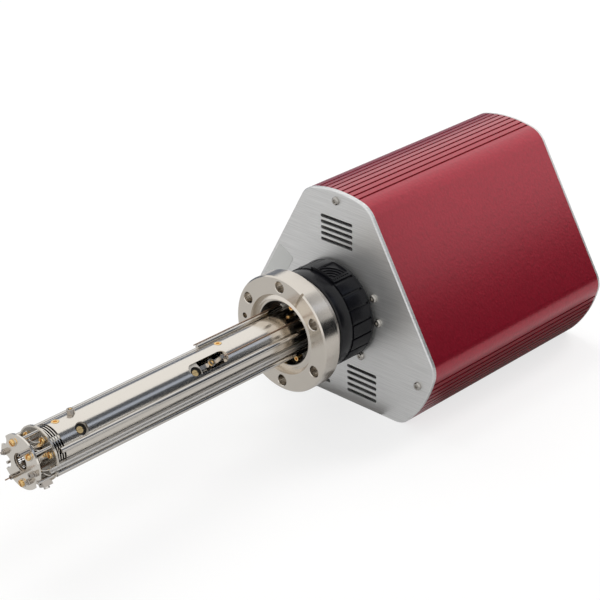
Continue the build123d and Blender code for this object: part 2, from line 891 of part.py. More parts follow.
# Hollow post on the upper rim and the gas inlet stub under the aperture
source_tube_points = inset_points(source_tube_places)
with BuildPart() as source_tubes:
    with BuildSketch(station(-source_front_station)):
        with Locations(*source_tube_points):
            Circle(source_tube_diameter / 2)
    extrude(amount=source_tube_length)
    with BuildSketch(station(-source_front_station - source_tube_length)):
        with Locations(*source_tube_points):
            Circle(source_tube_bore / 2)
    extrude(amount=-source_tube_depth, mode=Mode.SUBTRACT)
save(source_tubes, "source_tubes")

with BuildPart() as inlet_wire:
    with BuildSketch(station(-source_front_station - source_tube_length + source_tube_depth)):
        with Locations(source_tube_points[-1]):
            Circle(wire_diameter / 2)
    extrude(amount=inlet_wire_length)
save(inlet_wire, "inlet_wire")

# Filament terminal block at the lower rim
block_circle = source_radius - block_inset
block_side_radius = block_circle + block_width / 2
block_screw_station = base_front_station + block_height / 2
with BuildPart() as filament_block:
    with BuildSketch(station(-base_front_station - block_height)):
        with Locations(*polar(block_circle, block_angle)):
            Rectangle(block_width, block_depth, rotation=block_angle)
            Circle(block_bore / 2, mode=Mode.SUBTRACT)
    extrude(amount=-block_height)
    chamfer(filament_block.edges().group_by(Axis.Y)[0].filter_by(GeomType.LINE), block_chamfer)
save(filament_block, "filament_block")

with BuildPart() as block_screw:
    with BuildSketch(radial(block_angle, -block_screw_station, block_side_radius)):
        Circle(block_screw_head / 2)
    extrude(amount=block_screw_height)
    with BuildSketch(radial(block_angle, -block_screw_station, block_side_radius + block_screw_height)):
        Rectangle(block_screw_head + block_screw_slot, block_screw_slot)
    extrude(amount=-block_screw_height / 2, mode=Mode.SUBTRACT)
save(block_screw, "block_screw")

# ================================================================ leads along the tube
with BuildPart() as lead_tubes:
    for lead_name, front in lead_fronts.items():
        lead_point = polar(lead_circle, lead_angles[lead_name])
        with BuildSketch(station(-front)):
            with Locations(*lead_point):
                Circle(lead_diameter / 2)
        extrude(amount=-(front + lead_tail))
        with BuildSketch(station(-front)):
            with Locations(*lead_point):
                Circle(lead_bore / 2)
        extrude(amount=-lead_bore_depth, mode=Mode.SUBTRACT)
save(lead_tubes, "lead_tubes")

with BuildPart() as lead_tube_upper:
    with BuildSketch(station(-upper_lead_front)):
        with Locations(*polar(upper_lead_circle, lead_angles["upper"])):
            Circle(upper_lead_diameter / 2)
    extrude(amount=-(upper_lead_front + lead_tail))
save(lead_tube_upper, "lead_tube_upper")

rail_length = rail_front + lead_tail
rail_middle = (lead_tail - rail_front) / 2
with BuildPart() as rail_bar:
    with BuildSketch(radial(lead_angles["rail"], rail_middle, rail_circle - rail_thickness / 2)):
        Rectangle(rail_length, rail_width)
    extrude(amount=rail_thickness)
    with BuildSketch(radial(lead_angles["rail"], rail_middle, rail_circle + rail_thickness / 2)):
        Rectangle(rail_length, rail_groove)
    extrude(amount=-rail_thickness / 2, mode=Mode.SUBTRACT)
save(rail_bar, "rail_bar")

# Bare wires: one from the window contact, one on top of the short upper tube
upper_wire_circle = upper_lead_circle + (upper_lead_diameter + wire_diameter) / 2 + wire_gap
wires = {
    "window_wire": (contact_angle, window_wire_circle, clamp_station + clamp_length / 2),
    "upper_wire": (lead_angles["upper"], upper_wire_circle, upper_lead_front - wire_setback),
}
for wire_name, (angle, circle, front) in wires.items():
    with BuildPart() as wire:
        with BuildSketch(station(-front)):
            with Locations(*polar(circle, angle)):
                Circle(wire_diameter / 2)
        extrude(amount=-(front + lead_tail))
        if wire_name == "upper_wire":
            with BuildSketch(station(-front - wire_tab_length)):
                with Locations(*polar(circle, angle)):
                    Rectangle(wire_diameter, wire_tab_height, rotation=angle)
            extrude(amount=-wire_tab_length)
    save(wire, wire_name)

# ================================================================ bayonet coupling
lug_gap = 360 / lug_count - lug_sweep
entry_sweep = lug_sweep + lug_entry


def wedge(sweep):
    """Corners of a triangle from the axis outward that spans an angle about its local X."""
    reach = ring_diameter
    half = radians(sweep / 2)
    return [(0, 0), (reach * cos(half), -reach * sin(half)), (reach * cos(half), reach * sin(half))]


with BuildPart() as bayonet_collar:
    with BuildSketch(station(flange_thickness)):
        Circle(collar_diameter / 2)
    extrude(amount=-collar_width)
    chamfer(bayonet_collar.edges().group_by(Axis.Y)[0], collar_chamfer)
    with BuildSketch(station(collar_tail)):
        Circle(hub_diameter / 2)
    extrude(amount=-(lug_tail - collar_tail))
    with BuildSketch(station(lug_front)):
        Circle(lug_diameter / 2)
        with PolarLocations(0, lug_count, start_angle=lug_first_angle + 180 / lug_count):
            Polygon(*wedge(lug_gap), align=None, mode=Mode.SUBTRACT)
        Circle(hub_diameter / 2)
    extrude(amount=-lug_width)
    with BuildSketch(station(flange_thickness)):
        Circle(neck_diameter / 2 + part_gap)
    extrude(amount=-(lug_tail - flange_thickness), mode=Mode.SUBTRACT)
save(bayonet_collar, "bayonet_collar")

# Locking ring: smooth front band, pads with gaps between them, thin rear rim, ridged lock tab on top
band_tail = ring_front + band_width
pad_front = band_tail + pad_setback
rim_front = ring_tail - rim_width
entry_front = ring_front + entry_lead
tab_radius = ring_diameter / 2 + tab_rise
tab_sweep = tab_pads * 360 / pad_count - degrees(2 * pad_gap / ring_diameter)
tab_width = 2 * tab_radius * sin(radians(tab_sweep / 2))
tab_length = rim_front - pad_front
tab_floor = tab_radius - tab_depth
tab_middle = (pad_front + rim_front) / 2
tab_window = (tab_length - 2 * tab_end_frame, tab_width - 2 * tab_side_frame)
ridge_radii = [ridge_first + ridge_pitch * i for i in range(ridge_count)]
with BuildPart() as locking_ring:
    with BuildSketch(station(ring_front)):
        Circle(ring_band_diameter / 2)
    extrude(amount=-band_width)
    chamfer(locking_ring.edges().group_by(Axis.Y)[0], ring_chamfer)
    with BuildSketch(station(band_tail)):
        Circle(ring_root_diameter / 2)
    extrude(amount=-(rim_front - band_tail))
    with BuildSketch(station(pad_front)):
        Circle(ring_diameter / 2)
        with PolarLocations(ring_diameter / 2, pad_count, start_angle=tab_angle):
            Rectangle(2 * pad_rise, pad_gap, mode=Mode.SUBTRACT)
    extrude(amount=-(rim_front - pad_front))
    with BuildSketch(station(pad_front)):
        Circle(tab_radius)
        with PolarLocations(0, 1, start_angle=tab_angle):
            Polygon(*wedge(tab_sweep), align=None, mode=Mode.INTERSECT)
    extrude(amount=-tab_length)
    with BuildSketch(radial(tab_angle, tab_middle, tab_floor)):
        Rectangle(*tab_window)
    extrude(amount=tab_depth, mode=Mode.SUBTRACT)
    with BuildSketch(radial(tab_angle, tab_middle, tab_floor)):
        with Locations((-tab_window[0] / 2, -tab_window[1] / 2)):
            for ridge_radius in reversed(ridge_radii):
                Circle(ridge_radius + ridge_width / 2)
                Circle(ridge_radius - ridge_width / 2, mode=Mode.SUBTRACT)
        Rectangle(*tab_window, mode=Mode.INTERSECT)
    extrude(amount=ridge_height)
    with BuildSketch(station(rim_front)):
        Circle(ring_root_diameter / 2 + rim_rise)
    extrude(amount=-rim_width)
    with BuildSketch(station(ring_front)):
        Circle(ring_bore / 2)
    extrude(amount=-(back_lip_front - ring_front), mode=Mode.SUBTRACT)
    with BuildSketch(station(back_lip_front)):
        Circle(sleeve_diameter / 2 + running_fit)
    extrude(amount=-ring_lip, mode=Mode.SUBTRACT)
    with BuildSketch(station(back_lip_front + ring_lip)):
        Circle(ring_bore / 2)
    extrude(amount=-(ring_tail - back_lip_front - ring_lip), mode=Mode.SUBTRACT)
    with BuildSketch(station(entry_front)):
        Circle(ring_bore / 2)
        with PolarLocations(0, lug_count, start_angle=lug_first_angle + bayonet_turn):
            Polygon(*wedge(entry_sweep), align=None, mode=Mode.SUBTRACT)
        Circle(hub_diameter / 2 + axial_gap, mode=Mode.SUBTRACT)
    extrude(amount=-(ring_lip - entry_lead))
save(locking_ring, "locking_ring")

# Sleeve behind the front plate that carries the ring and the plate's screws
base_radius = coupling_screw_radius + sleeve_base_rim
coupling_points = polar(coupling_screw_radius, *coupling_screw_angles)
with BuildPart() as coupling_sleeve:
    with BuildSketch(station(sleeve_front)):
        Circle(sleeve_diameter / 2)
    extrude(amount=-(shell_front - sleeve_front))
    with BuildSketch(station(shoulder_front)):
        Circle(lug_diameter / 2)
    extrude(amount=-shoulder_width)
    with BuildSketch(station(shell_front)):
        Circle(base_radius)
    extrude(amount=-sleeve_base)
    with BuildSketch(station(sleeve_front)):
        Circle(sleeve_bore / 2)
    extrude(amount=-(shell_front - sleeve_front), mode=Mode.SUBTRACT)
    with BuildSketch(station(shell_front)):
        Circle(sleeve_bore / 2 - sleeve_base_land)
        with Locations(*coupling_points):
            Circle(screw_pilot / 2)
    extrude(amount=-sleeve_base, mode=Mode.SUBTRACT)
save(coupling_sleeve, "coupling_sleeve")

socket_front = neck_tail + socket_gap
with BuildPart() as pin_socket:
    with BuildSketch(station(socket_front)):
        Circle(sleeve_bore / 2 - socket_fit)
    extrude(amount=-(shell_front - socket_front))
    with BuildSketch(station(shell_front)):
        Circle(sleeve_bore / 2 - sleeve_base_land - socket_fit)
    extrude(amount=-socket_plug)
    with BuildSketch(station(socket_front)):
        with Locations(*pin_points):
            Circle(pin_diameter / 2 + pin_gap)
    extrude(amount=-socket_hole_depth, mode=Mode.SUBTRACT)
save(pin_socket, "pin_socket")

# ================================================================ electronics box
box_centre = (0, -box_drop)
top_corner, right_corner, left_corner = box_corners
corner_screws = (
    (box_corner_radius - top_screw_inset, top_corner),
    (box_corner_radius - side_screw_inset, right_corner + side_screw_turn),
    (box_corner_radius - side_screw_inset, left_corner - side_screw_turn),
)
corner_points = [(x, z - box_drop) for radius, angle in corner_screws for x, z in polar(radius, angle)]


def rounded_prism(inset):
    """Draw the box's section, three flats joined by arcs about its centre, in the sketch that is open."""
    with Locations(box_centre):
        Circle(box_corner_radius - inset)
        RegularPolygon(box_apothem - inset, 3, major_radius=False, rotation=90, mode=Mode.INTERSECT)


with BuildSketch(Plane.XY) as box_outline:
    rounded_prism(0)
    fillet(box_outline.vertices(), box_edge_radius)
with BuildSketch(Plane.XY) as box_cavity:
    rounded_prism(shell_wall)
    fillet(box_cavity.vertices(), box_edge_radius - shell_wall)


def vent_slots():
    """Middles and lengths of the vent slots: a block at the top and one at each lower corner."""
    slots = []
    for row in range(vent_rows):
        top = box_corner_radius - box_drop - top_vent_inset - top_vent_pitch * row
        side = box_floor + side_vent_inset + side_vent_pitch * (vent_rows - 1 - row)
        slots.append((0, top, top_vent_length))
        slots.append((side_vent_offset, side, side_vent_length))
        slots.append((-side_vent_offset, side, side_vent_length))
    return slots


with BuildPart() as front_plate:
    with BuildSketch(station(plate_front)):
        add(box_outline.sketch)
    extrude(amount=-plate_thickness)
    chamfer(front_plate.edges().group_by(Axis.Y)[0], plate_bevel)
    with BuildSketch(station(plate_front)):
        Circle(sleeve_diameter / 2 + sleeve_clearance)
        with Locations(*corner_points, *coupling_points):
            Circle(screw_hole / 2)
        for x, z, length in vent_slots():
            with Locations((x, z)):
                SlotOverall(length, vent_width)
    extrude(amount=-plate_thickness, mode=Mode.SUBTRACT)
save(front_plate, "front_plate")

# Extruded shell: grooves along its three corners, a web with a screw bore inside each corner
groove_step = degrees(groove_pitch / box_corner_radius)
groove_angles = [
    corner + (i - (groove_count - 1) / 2) * groove_step for corner in box_corners for i in range(groove_count)
]
groove_points = [(x, z - box_drop) for x, z in polar(box_corner_radius, *groove_angles)]
with BuildPart() as housing_shell:
    with BuildSketch(station(shell_front)):
        add(box_outline.sketch)
    extrude(amount=-shell_length)
    with BuildSketch(station(shell_front)):
        add(box_cavity.sketch)
    extrude(amount=-shell_length, mode=Mode.SUBTRACT)
    with BuildSketch(station(shell_front)):
        with Locations(*corner_points):
            Circle(screw_boss / 2)
        for radius, angle in corner_screws:
            web_reach = box_corner_radius - shell_wall / 2 - radius
            for x, z in polar(radius + web_reach / 2, angle):
                with Locations((x, z - box_drop)):
                    Rectangle(web_reach, screw_boss / 2, rotation=angle)
        add(box_outline.sketch, mode=Mode.INTERSECT)
    extrude(amount=-shell_length)
    with BuildSketch(station(shell_front)):
        for angle, point in zip(groove_angles, groove_points):
            with Locations(point):
                Rectangle(2 * groove_depth, groove_width, rotation=angle)
        with Locations(*corner_points):
            Circle(screw_pilot / 2)
    extrude(amount=-shell_length, mode=Mode.SUBTRACT)
save(housing_shell, "housing_shell")

io_opening = (io_shell_width + 2 * panel_gap, io_shell_height + 2 * panel_gap)
led_points = [(led_pitch * (i - (led_count - 1) / 2), led_height) for i in range(led_count)]
with BuildPart() as rear_plate:
    with BuildSketch(station(shell_tail)):
        add(box_outline.sketch)
    extrude(amount=-rear_thickness)
    chamfer(rear_plate.edges().group_by(Axis.Y)[-1], plate_bevel)
    with BuildSketch(station(shell_tail)):
        with Locations(*corner_points):
            Circle(screw_hole / 2)
        with Locations(jack_place):
            Rectangle(jack_width + 2 * panel_gap, jack_height + 2 * panel_gap)
        with Locations(power_place):
            Circle(power_diameter / 2 + panel_gap)
        with Locations(io_place):
            Rectangle(*io_opening)
        with Locations(*led_points):
            Circle(led_diameter / 2 + panel_gap)
        with Locations(stud_place):
            Circle(stud_diameter / 2 + nut_gap)
    extrude(amount=-rear_thickness, mode=Mode.SUBTRACT)
save(rear_plate, "rear_plate")

# Button-head screws: the way is +1 for those driven in from the front and -1 for those from the back
screw_sets = {
    "front_plate_screws": (corner_points, plate_front, 1, corner_screw_length),
    "coupling_screws": (coupling_points, plate_front, 1, plate_thickness + coupling_screw_grip),
    "rear_plate_screws": (corner_points, box_tail, -1, corner_screw_length),
}
for screws_name, (points, face, way, shank) in screw_sets.items():
    with BuildPart() as screws:
        with BuildSketch(station(face)):
            with Locations(*points):
                Circle(button_head / 2)
        extrude(amount=way * button_height)
        outer_end = screws.edges().filter_by(GeomType.CIRCLE).group_by(Axis.Y)[0 if way > 0 else -1]
        fillet(outer_end, button_height * button_round)
        with BuildSketch(station(face - way * button_height)):
            with Locations(*points):
                RegularPolygon(button_socket / 2, 6)
        extrude(amount=-way * button_socket_depth, mode=Mode.SUBTRACT)
        with BuildSketch(station(face)):
            with Locations(*points):
                Circle(screw_pilot / 2 - running_fit)
        extrude(amount=-way * shank)
    save(screws, screws_name)

# ================================================================ inside the box
board_middle_y = board_front + board_length / 2
standoff_x = board_width / 2 - standoff_inset
standoff_y = board_length / 2 - standoff_inset
standoff_points = [(x * standoff_x, board_middle_y + y * standoff_y) for x in (-1, 1) for y in (-1, 1)]
with BuildPart() as standoffs:
    with BuildSketch(Plane.XY.offset(board_bottom - standoff_height)):
        with Locations(*standoff_points):
            Circle(standoff_diameter / 2)
    extrude(amount=standoff_height)
save(standoffs, "standoffs")

with BuildPart() as main_board:
    with BuildSketch(Plane.XY.offset(board_bottom)):
        with Locations((0, board_middle_y)):
            RectangleRounded(board_width, board_length, board_corner)
    extrude(amount=board_thickness)
save(main_board, "main_board")

with BuildPart() as board_screws:
    with BuildSketch(Plane.XY.offset(board_top)):
        with Locations(*standoff_points):
            Circle(board_screw_head / 2)
    extrude(amount=board_screw_height)
save(board_screws, "board_screws")

shield_x = board_width - shield_left_margin - shield_right_margin
shield_y = board_length - shield_front_margin - shield_rear_margin
shield_middle = (
    (shield_left_margin - shield_right_margin) / 2,
    board_middle_y + (shield_front_margin - shield_rear_margin) / 2,
)
with BuildPart() as rf_shield:
    with BuildSketch(Plane.XY.offset(board_top)):
        with Locations(shield_middle):
            RectangleRounded(shield_x, shield_y, shield_corner)
    extrude(amount=shield_height)
save(rf_shield, "rf_shield")

capacitor_x = shield_middle[0] + shield_x / 2 + capacitor_diameter / 2 + capacitor_gap
capacitor_run = (capacitor_count - 1) * capacitor_pitch
with BuildPart() as capacitors:
    with BuildSketch(Plane.XY.offset(board_top)):
        for i in range(capacitor_count):
            with Locations((capacitor_x, shield_middle[1] - capacitor_run / 2 + i * capacitor_pitch)):
                Circle(capacitor_diameter / 2)
    extrude(amount=capacitor_height)
save(capacitors, "capacitors")

# ================================================================ connectors on the back
jack_x, jack_z = jack_place
jack_front = box_tail + jack_stand
with BuildPart() as ethernet_jack:
    with BuildSketch(station(jack_front)):
        with Locations(jack_place):
            Rectangle(jack_width, jack_height)
    extrude(amount=jack_depth)
    with BuildSketch(station(jack_front)):
        with Locations(jack_place):
            Rectangle(jack_cavity_width, jack_cavity_height)
        with Locations((jack_x, jack_z - jack_latch_drop)):
            Rectangle(jack_latch_width, jack_latch_height)
    extrude(amount=jack_cavity_depth, mode=Mode.SUBTRACT)
    with BuildSketch(station(shell_tail)):
        with Locations(jack_place):
            Rectangle(jack_width + 2 * jack_collar, jack_height + 2 * jack_collar)
            Rectangle(jack_width, jack_height, mode=Mode.SUBTRACT)
    extrude(amount=jack_collar_thickness)
save(ethernet_jack, "ethernet_jack")

with BuildPart() as power_connector:
    with BuildSketch(station(shell_tail)):
        with Locations(power_place):
            Circle(power_flange / 2)
    extrude(amount=power_body_length)
    with BuildSketch(station(shell_tail)):
        with Locations(power_place):
            Circle(power_diameter / 2)
    extrude(amount=-(rear_thickness + power_reach))
    with BuildSketch(station(box_tail + power_reach)):
        with Locations(power_place):
            Circle(power_ring_outer / 2)
            Circle(power_ring_inner / 2, mode=Mode.SUBTRACT)
            with PolarLocations(power_pin_circle / 2, 4):
                Circle(power_pin / 2)
    extrude(amount=power_recess, mode=Mode.SUBTRACT)
save(power_connector, "power_connector")

with BuildPart() as power_nut:
    with BuildSketch(station(box_tail)):
        with Locations(power_place):
            RegularPolygon(power_nut_size / 2, 6)
            Circle(power_diameter / 2 + nut_gap, mode=Mode.SUBTRACT)
    extrude(amount=-power_nut_height)
save(power_nut, "power_nut")

with BuildPart() as io_connector:
    with BuildSketch(station(box_tail)):
        with Locations(io_place):
            RectangleRounded(io_width, io_height + io_flange_rim, io_corner)
    extrude(amount=-io_flange_thickness)
    with BuildSketch(station(box_tail + io_flange_thickness)):
        with Locations(io_place):
            RectangleRounded(io_shell_width, io_shell_height, io_shell_corner)
    extrude(amount=-io_reach)
    with BuildSketch(station(box_tail)):
        with Locations(io_place):
            Rectangle(io_body_width, io_body_height)
    extrude(amount=io_body_depth)
    with BuildSketch(station(box_tail + io_flange_thickness + io_reach)):
        with Locations(io_place):
            for row, pins in ((io_row_offset, 5), (-io_row_offset, 4)):
                with Locations((0, row)):
                    with GridLocations(io_pin_pitch, 1, pins, 1):
                        Circle(io_pin / 2)
    extrude(amount=io_pin_depth, mode=Mode.SUBTRACT)
save(io_connector, "io_connector")

with BuildPart() as io_jackscrews:
    with BuildSketch(station(box_tail + io_flange_thickness)):
        with Locations(io_place):
            with GridLocations(jackscrew_pitch, 1, 2, 1):
                RegularPolygon(jackscrew_size / 2, 6)
    extrude(amount=-jackscrew_height)
save(io_jackscrews, "io_jackscrews")

led_base = shell_tail - led_flange_thickness
with BuildPart() as status_leds:
    with BuildSketch(station(led_base)):
        with Locations(*led_points):
            Circle(led_diameter / 2)
    extrude(amount=-(box_tail + led_stand - led_base))
    with BuildSketch(station(led_base)):
        with Locations(*led_points):
            Circle(led_flange / 2)
    extrude(amount=-led_flange_thickness)
save(status_leds, "status_leds")

with BuildPart() as ground_stud:
    with BuildSketch(station(shell_tail)):
        with Locations(stud_place):
            Circle(stud_head / 2)
    extrude(amount=stud_head_height)
    with BuildSketch(station(shell_tail)):
        with Locations(stud_place):
            Circle(stud_diameter / 2)
    extrude(amount=-(rear_thickness + stud_reach))
save(ground_stud, "ground_stud")

with BuildPart() as ground_nut:
    with BuildSketch(station(box_tail)):
        with Locations(stud_place):
            RegularPolygon(stud_nut_size / 2, 6)
            Circle(stud_diameter / 2 + nut_gap, mode=Mode.SUBTRACT)
    extrude(amount=-stud_nut_height)
save(ground_nut, "ground_nut")
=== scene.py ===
"""Looks of a quadrupole mass spectrometer: finishes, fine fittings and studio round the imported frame.

Sizes of pieces are in millimetres and angles in degrees, those of the studio are in metres, and a name or a
note says where it is otherwise. The probe points along -Y, the electronics box lies along +Y and +Z is up.
"""
import json
import logging
from dataclasses import dataclass, replace
from enum import Enum
from math import cos, radians, sin
from typing import Callable, Optional, Sequence

import bpy
from mathutils import Matrix, Vector


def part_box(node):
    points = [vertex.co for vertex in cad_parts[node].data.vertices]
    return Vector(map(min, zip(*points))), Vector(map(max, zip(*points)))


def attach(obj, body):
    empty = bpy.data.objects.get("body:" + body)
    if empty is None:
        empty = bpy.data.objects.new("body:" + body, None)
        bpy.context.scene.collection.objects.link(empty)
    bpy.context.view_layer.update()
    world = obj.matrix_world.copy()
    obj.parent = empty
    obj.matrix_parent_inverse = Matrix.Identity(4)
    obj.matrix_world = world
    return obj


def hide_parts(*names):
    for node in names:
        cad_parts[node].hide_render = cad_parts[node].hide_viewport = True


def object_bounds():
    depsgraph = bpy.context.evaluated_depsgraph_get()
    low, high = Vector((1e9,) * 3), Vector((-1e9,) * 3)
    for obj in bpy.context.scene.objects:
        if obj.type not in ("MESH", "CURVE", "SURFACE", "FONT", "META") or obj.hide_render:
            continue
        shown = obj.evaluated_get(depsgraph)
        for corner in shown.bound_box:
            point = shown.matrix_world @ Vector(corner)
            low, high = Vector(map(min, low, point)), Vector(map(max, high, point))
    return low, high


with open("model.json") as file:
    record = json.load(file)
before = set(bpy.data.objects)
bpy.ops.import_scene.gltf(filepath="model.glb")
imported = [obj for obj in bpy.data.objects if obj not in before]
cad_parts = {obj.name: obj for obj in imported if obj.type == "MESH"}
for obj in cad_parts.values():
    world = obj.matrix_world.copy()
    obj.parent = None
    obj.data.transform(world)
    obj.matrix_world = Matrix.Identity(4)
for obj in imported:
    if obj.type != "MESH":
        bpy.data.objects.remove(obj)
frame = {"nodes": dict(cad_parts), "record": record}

LOG = logging.getLogger("spectrometer")
MM = 1e-3
UM = 1e-6
MOSTLY = 0.9
SQUARELY = 0.98
CAD_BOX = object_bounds()

Colour = tuple[float, float, float]
Point = tuple[float, float, float]
Socket = bpy.types.NodeSocket
Thing = bpy.types.Object


class Body(Enum):
    """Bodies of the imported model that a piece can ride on."""

    ANALYSER = "analyser"
    RING = "locking_ring"


# -------- node helpers
class NodeSheet:
    """One node tree with short calls for adding and joining nodes."""

    def __init__(self, tree: bpy.types.NodeTree) -> None:
        """Take the tree and clear it.

        Args:
            tree: the tree of a material, world or group.
        """
        self.tree = tree
        tree.nodes.clear()

    def add(self, kind: str, inputs: Optional[dict] = None, **settings: object) -> bpy.types.Node:
        """Add a node.

        Args:
            kind: the node's type name without its ShaderNode prefix, or a full name.
            inputs: values for its sockets, or sockets to join to them, by name or number.
            settings: properties of the node itself.

        Returns:
            The new node.
        """
        full = kind if kind.startswith("Node") else "ShaderNode" + kind
        node = self.tree.nodes.new(full)
        for key, value in settings.items():
            setattr(node, key, value)
        for key, value in (inputs or {}).items():
            if isinstance(value, Socket):
                self.tree.links.new(value, node.inputs[key])
            else:
                node.inputs[key].default_value = value
        return node

    def math(self, operation: str, first: object, second: object = 0.0) -> Socket:
        """Join two values by an operation and give the result's socket."""
        return self.add("Math", {0: first, 1: second}, operation=operation).outputs[0]

    def noise(self, size: object, detail: float, contrast: float = 0.5,
              place: object = None) -> Socket:
        """Add a noise texture, in the object's own frame unless another place is given."""
        place = place or self.place()
        return self.add("TexNoise", {"Vector": place, "Scale": size, "Detail": detail,
                                     "Roughness": contrast}).outputs[0]

    def place(self) -> Socket:
        """Give the socket of the place in the object's own frame."""
        return self.add("TexCoord").outputs["Object"]

    def tone(self, colour: object, level: object) -> Socket:
        """Multiply a colour by a level and give the result's socket."""
        return self.add("VectorMath", {0: colour, "Scale": level}, operation="SCALE").outputs[0]

    def ramp(self, value: object, stops: Sequence[tuple[float, float]]) -> Socket:
        """Turn a value into a grey mask by pairs of position and grey level, and give its socket."""
        node = self.add("ValToRGB", {0: value})
        elements = node.color_ramp.elements
        while len(elements) < len(stops):
            elements.new(0.5)
        for element, (position, grey) in zip(elements, stops):
            element.position = position
            element.color = (grey, grey, grey, 1.0)
        return node.outputs[0]


def new_group(name: str, takes: dict[str, object],
              gives: Sequence[str]) -> tuple[bpy.types.NodeTree, NodeSheet]:
    """Start a shader node group.

    Args:
        name: the group's name.
        takes: its inputs by name, each with a default number or vector.
        gives: the names of its outputs, which are all numbers.

    Returns:
        The group and a sheet for filling it.
    """
    group = bpy.data.node_groups.new(name, "ShaderNodeTree")
    sheet = NodeSheet(group)
    for key, value in takes.items():
        kind = "NodeSocketVector" if isinstance(value, tuple) else "NodeSocketFloat"
        group.interface.new_socket(name=key, in_out="INPUT", socket_type=kind).default_value = value
    for key in gives:
        group.interface.new_socket(name=key, in_out="OUTPUT", socket_type="NodeSocketFloat")
    return group, sheet


def new_material(name: str) -> tuple[bpy.types.Material, NodeSheet]:
    """Start a material and a sheet for filling it."""
    material = bpy.data.materials.new(name)
    material.use_nodes = True
    return material, NodeSheet(material.node_tree)


class Effects:
    """Effects that several finishes share, each built once as a node group.

    detail and contrast are a noise's octaves and roughness, and weights say how patterns share a height.
    """

    grain_detail, grain_contrast = 4.0, 0.65
    pebble_detail = 2.0
    pebble_weights = (0.6, 0.7)
    crease_stops = ((0.25, 0.0), (0.75, 1.0))
    mottle_detail, mottle_contrast = 5.0, 0.6
    noise_middle = 0.5

    def __init__(self) -> None:
        """Build the groups."""
        self.grain = self.build_grain()
        self.pebble = self.build_pebble()
        self.mottle = self.build_mottle()

    def build_grain(self) -> bpy.types.NodeTree:
        """Fine parallel lines, as brushing or turning leaves them."""
        group, sheet = new_group("Grain", {"Scale": (1.0, 1.0, 1.0), "Base": 0.3, "Spread": 0.1},
                                 ("Roughness", "Height"))
        entry = sheet.add("NodeGroupInput").outputs
        stretched = sheet.add("VectorMath", {0: sheet.place(), 1: entry["Scale"]}, operation="MULTIPLY")
        lines = sheet.noise(1.0, self.grain_detail, self.grain_contrast, stretched.outputs[0])
        centred = sheet.math("SUBTRACT", lines, self.noise_middle)
        rough = sheet.math("ADD", entry["Base"], sheet.math("MULTIPLY", centred, entry["Spread"]))
        sheet.add("NodeGroupOutput", {"Roughness": rough, "Height": lines})
        return group

    def build_pebble(self) -> bpy.types.NodeTree:
        """Low rounded bumps with thin creases between them, as on textured paint and moulded plastic."""
        group, sheet = new_group("Pebble", {"Size": 900.0}, ("Height", "Crease"))
        size = sheet.add("NodeGroupInput").outputs["Size"]
        cells = sheet.add("TexVoronoi", {"Vector": sheet.place(), "Scale": size},
                          feature="SMOOTH_F1").outputs["Distance"]
        patterns = (cells, sheet.noise(size, self.pebble_detail))
        weighed = [sheet.math("MULTIPLY", pattern, weight)
                   for pattern, weight in zip(patterns, self.pebble_weights)]
        height = sheet.math("ADD", *weighed)
        sheet.add("NodeGroupOutput", {"Height": height, "Crease": sheet.ramp(cells, self.crease_stops)})
        return group

    def build_mottle(self) -> bpy.types.NodeTree:
        """Broad uneven patches, as handling and cleaning leave them."""
        group, sheet = new_group("Mottle", {"Size": 60.0, "Amount": 0.1}, ("Value",))
        entry = sheet.add("NodeGroupInput").outputs
        broad = sheet.noise(entry["Size"], self.mottle_detail, self.mottle_contrast)
        centred = sheet.math("SUBTRACT", broad, self.noise_middle)
        level = sheet.math("MULTIPLY", centred, entry["Amount"])
        sheet.add("NodeGroupOutput", {"Value": sheet.math("ADD", level, 1.0)})
        return group


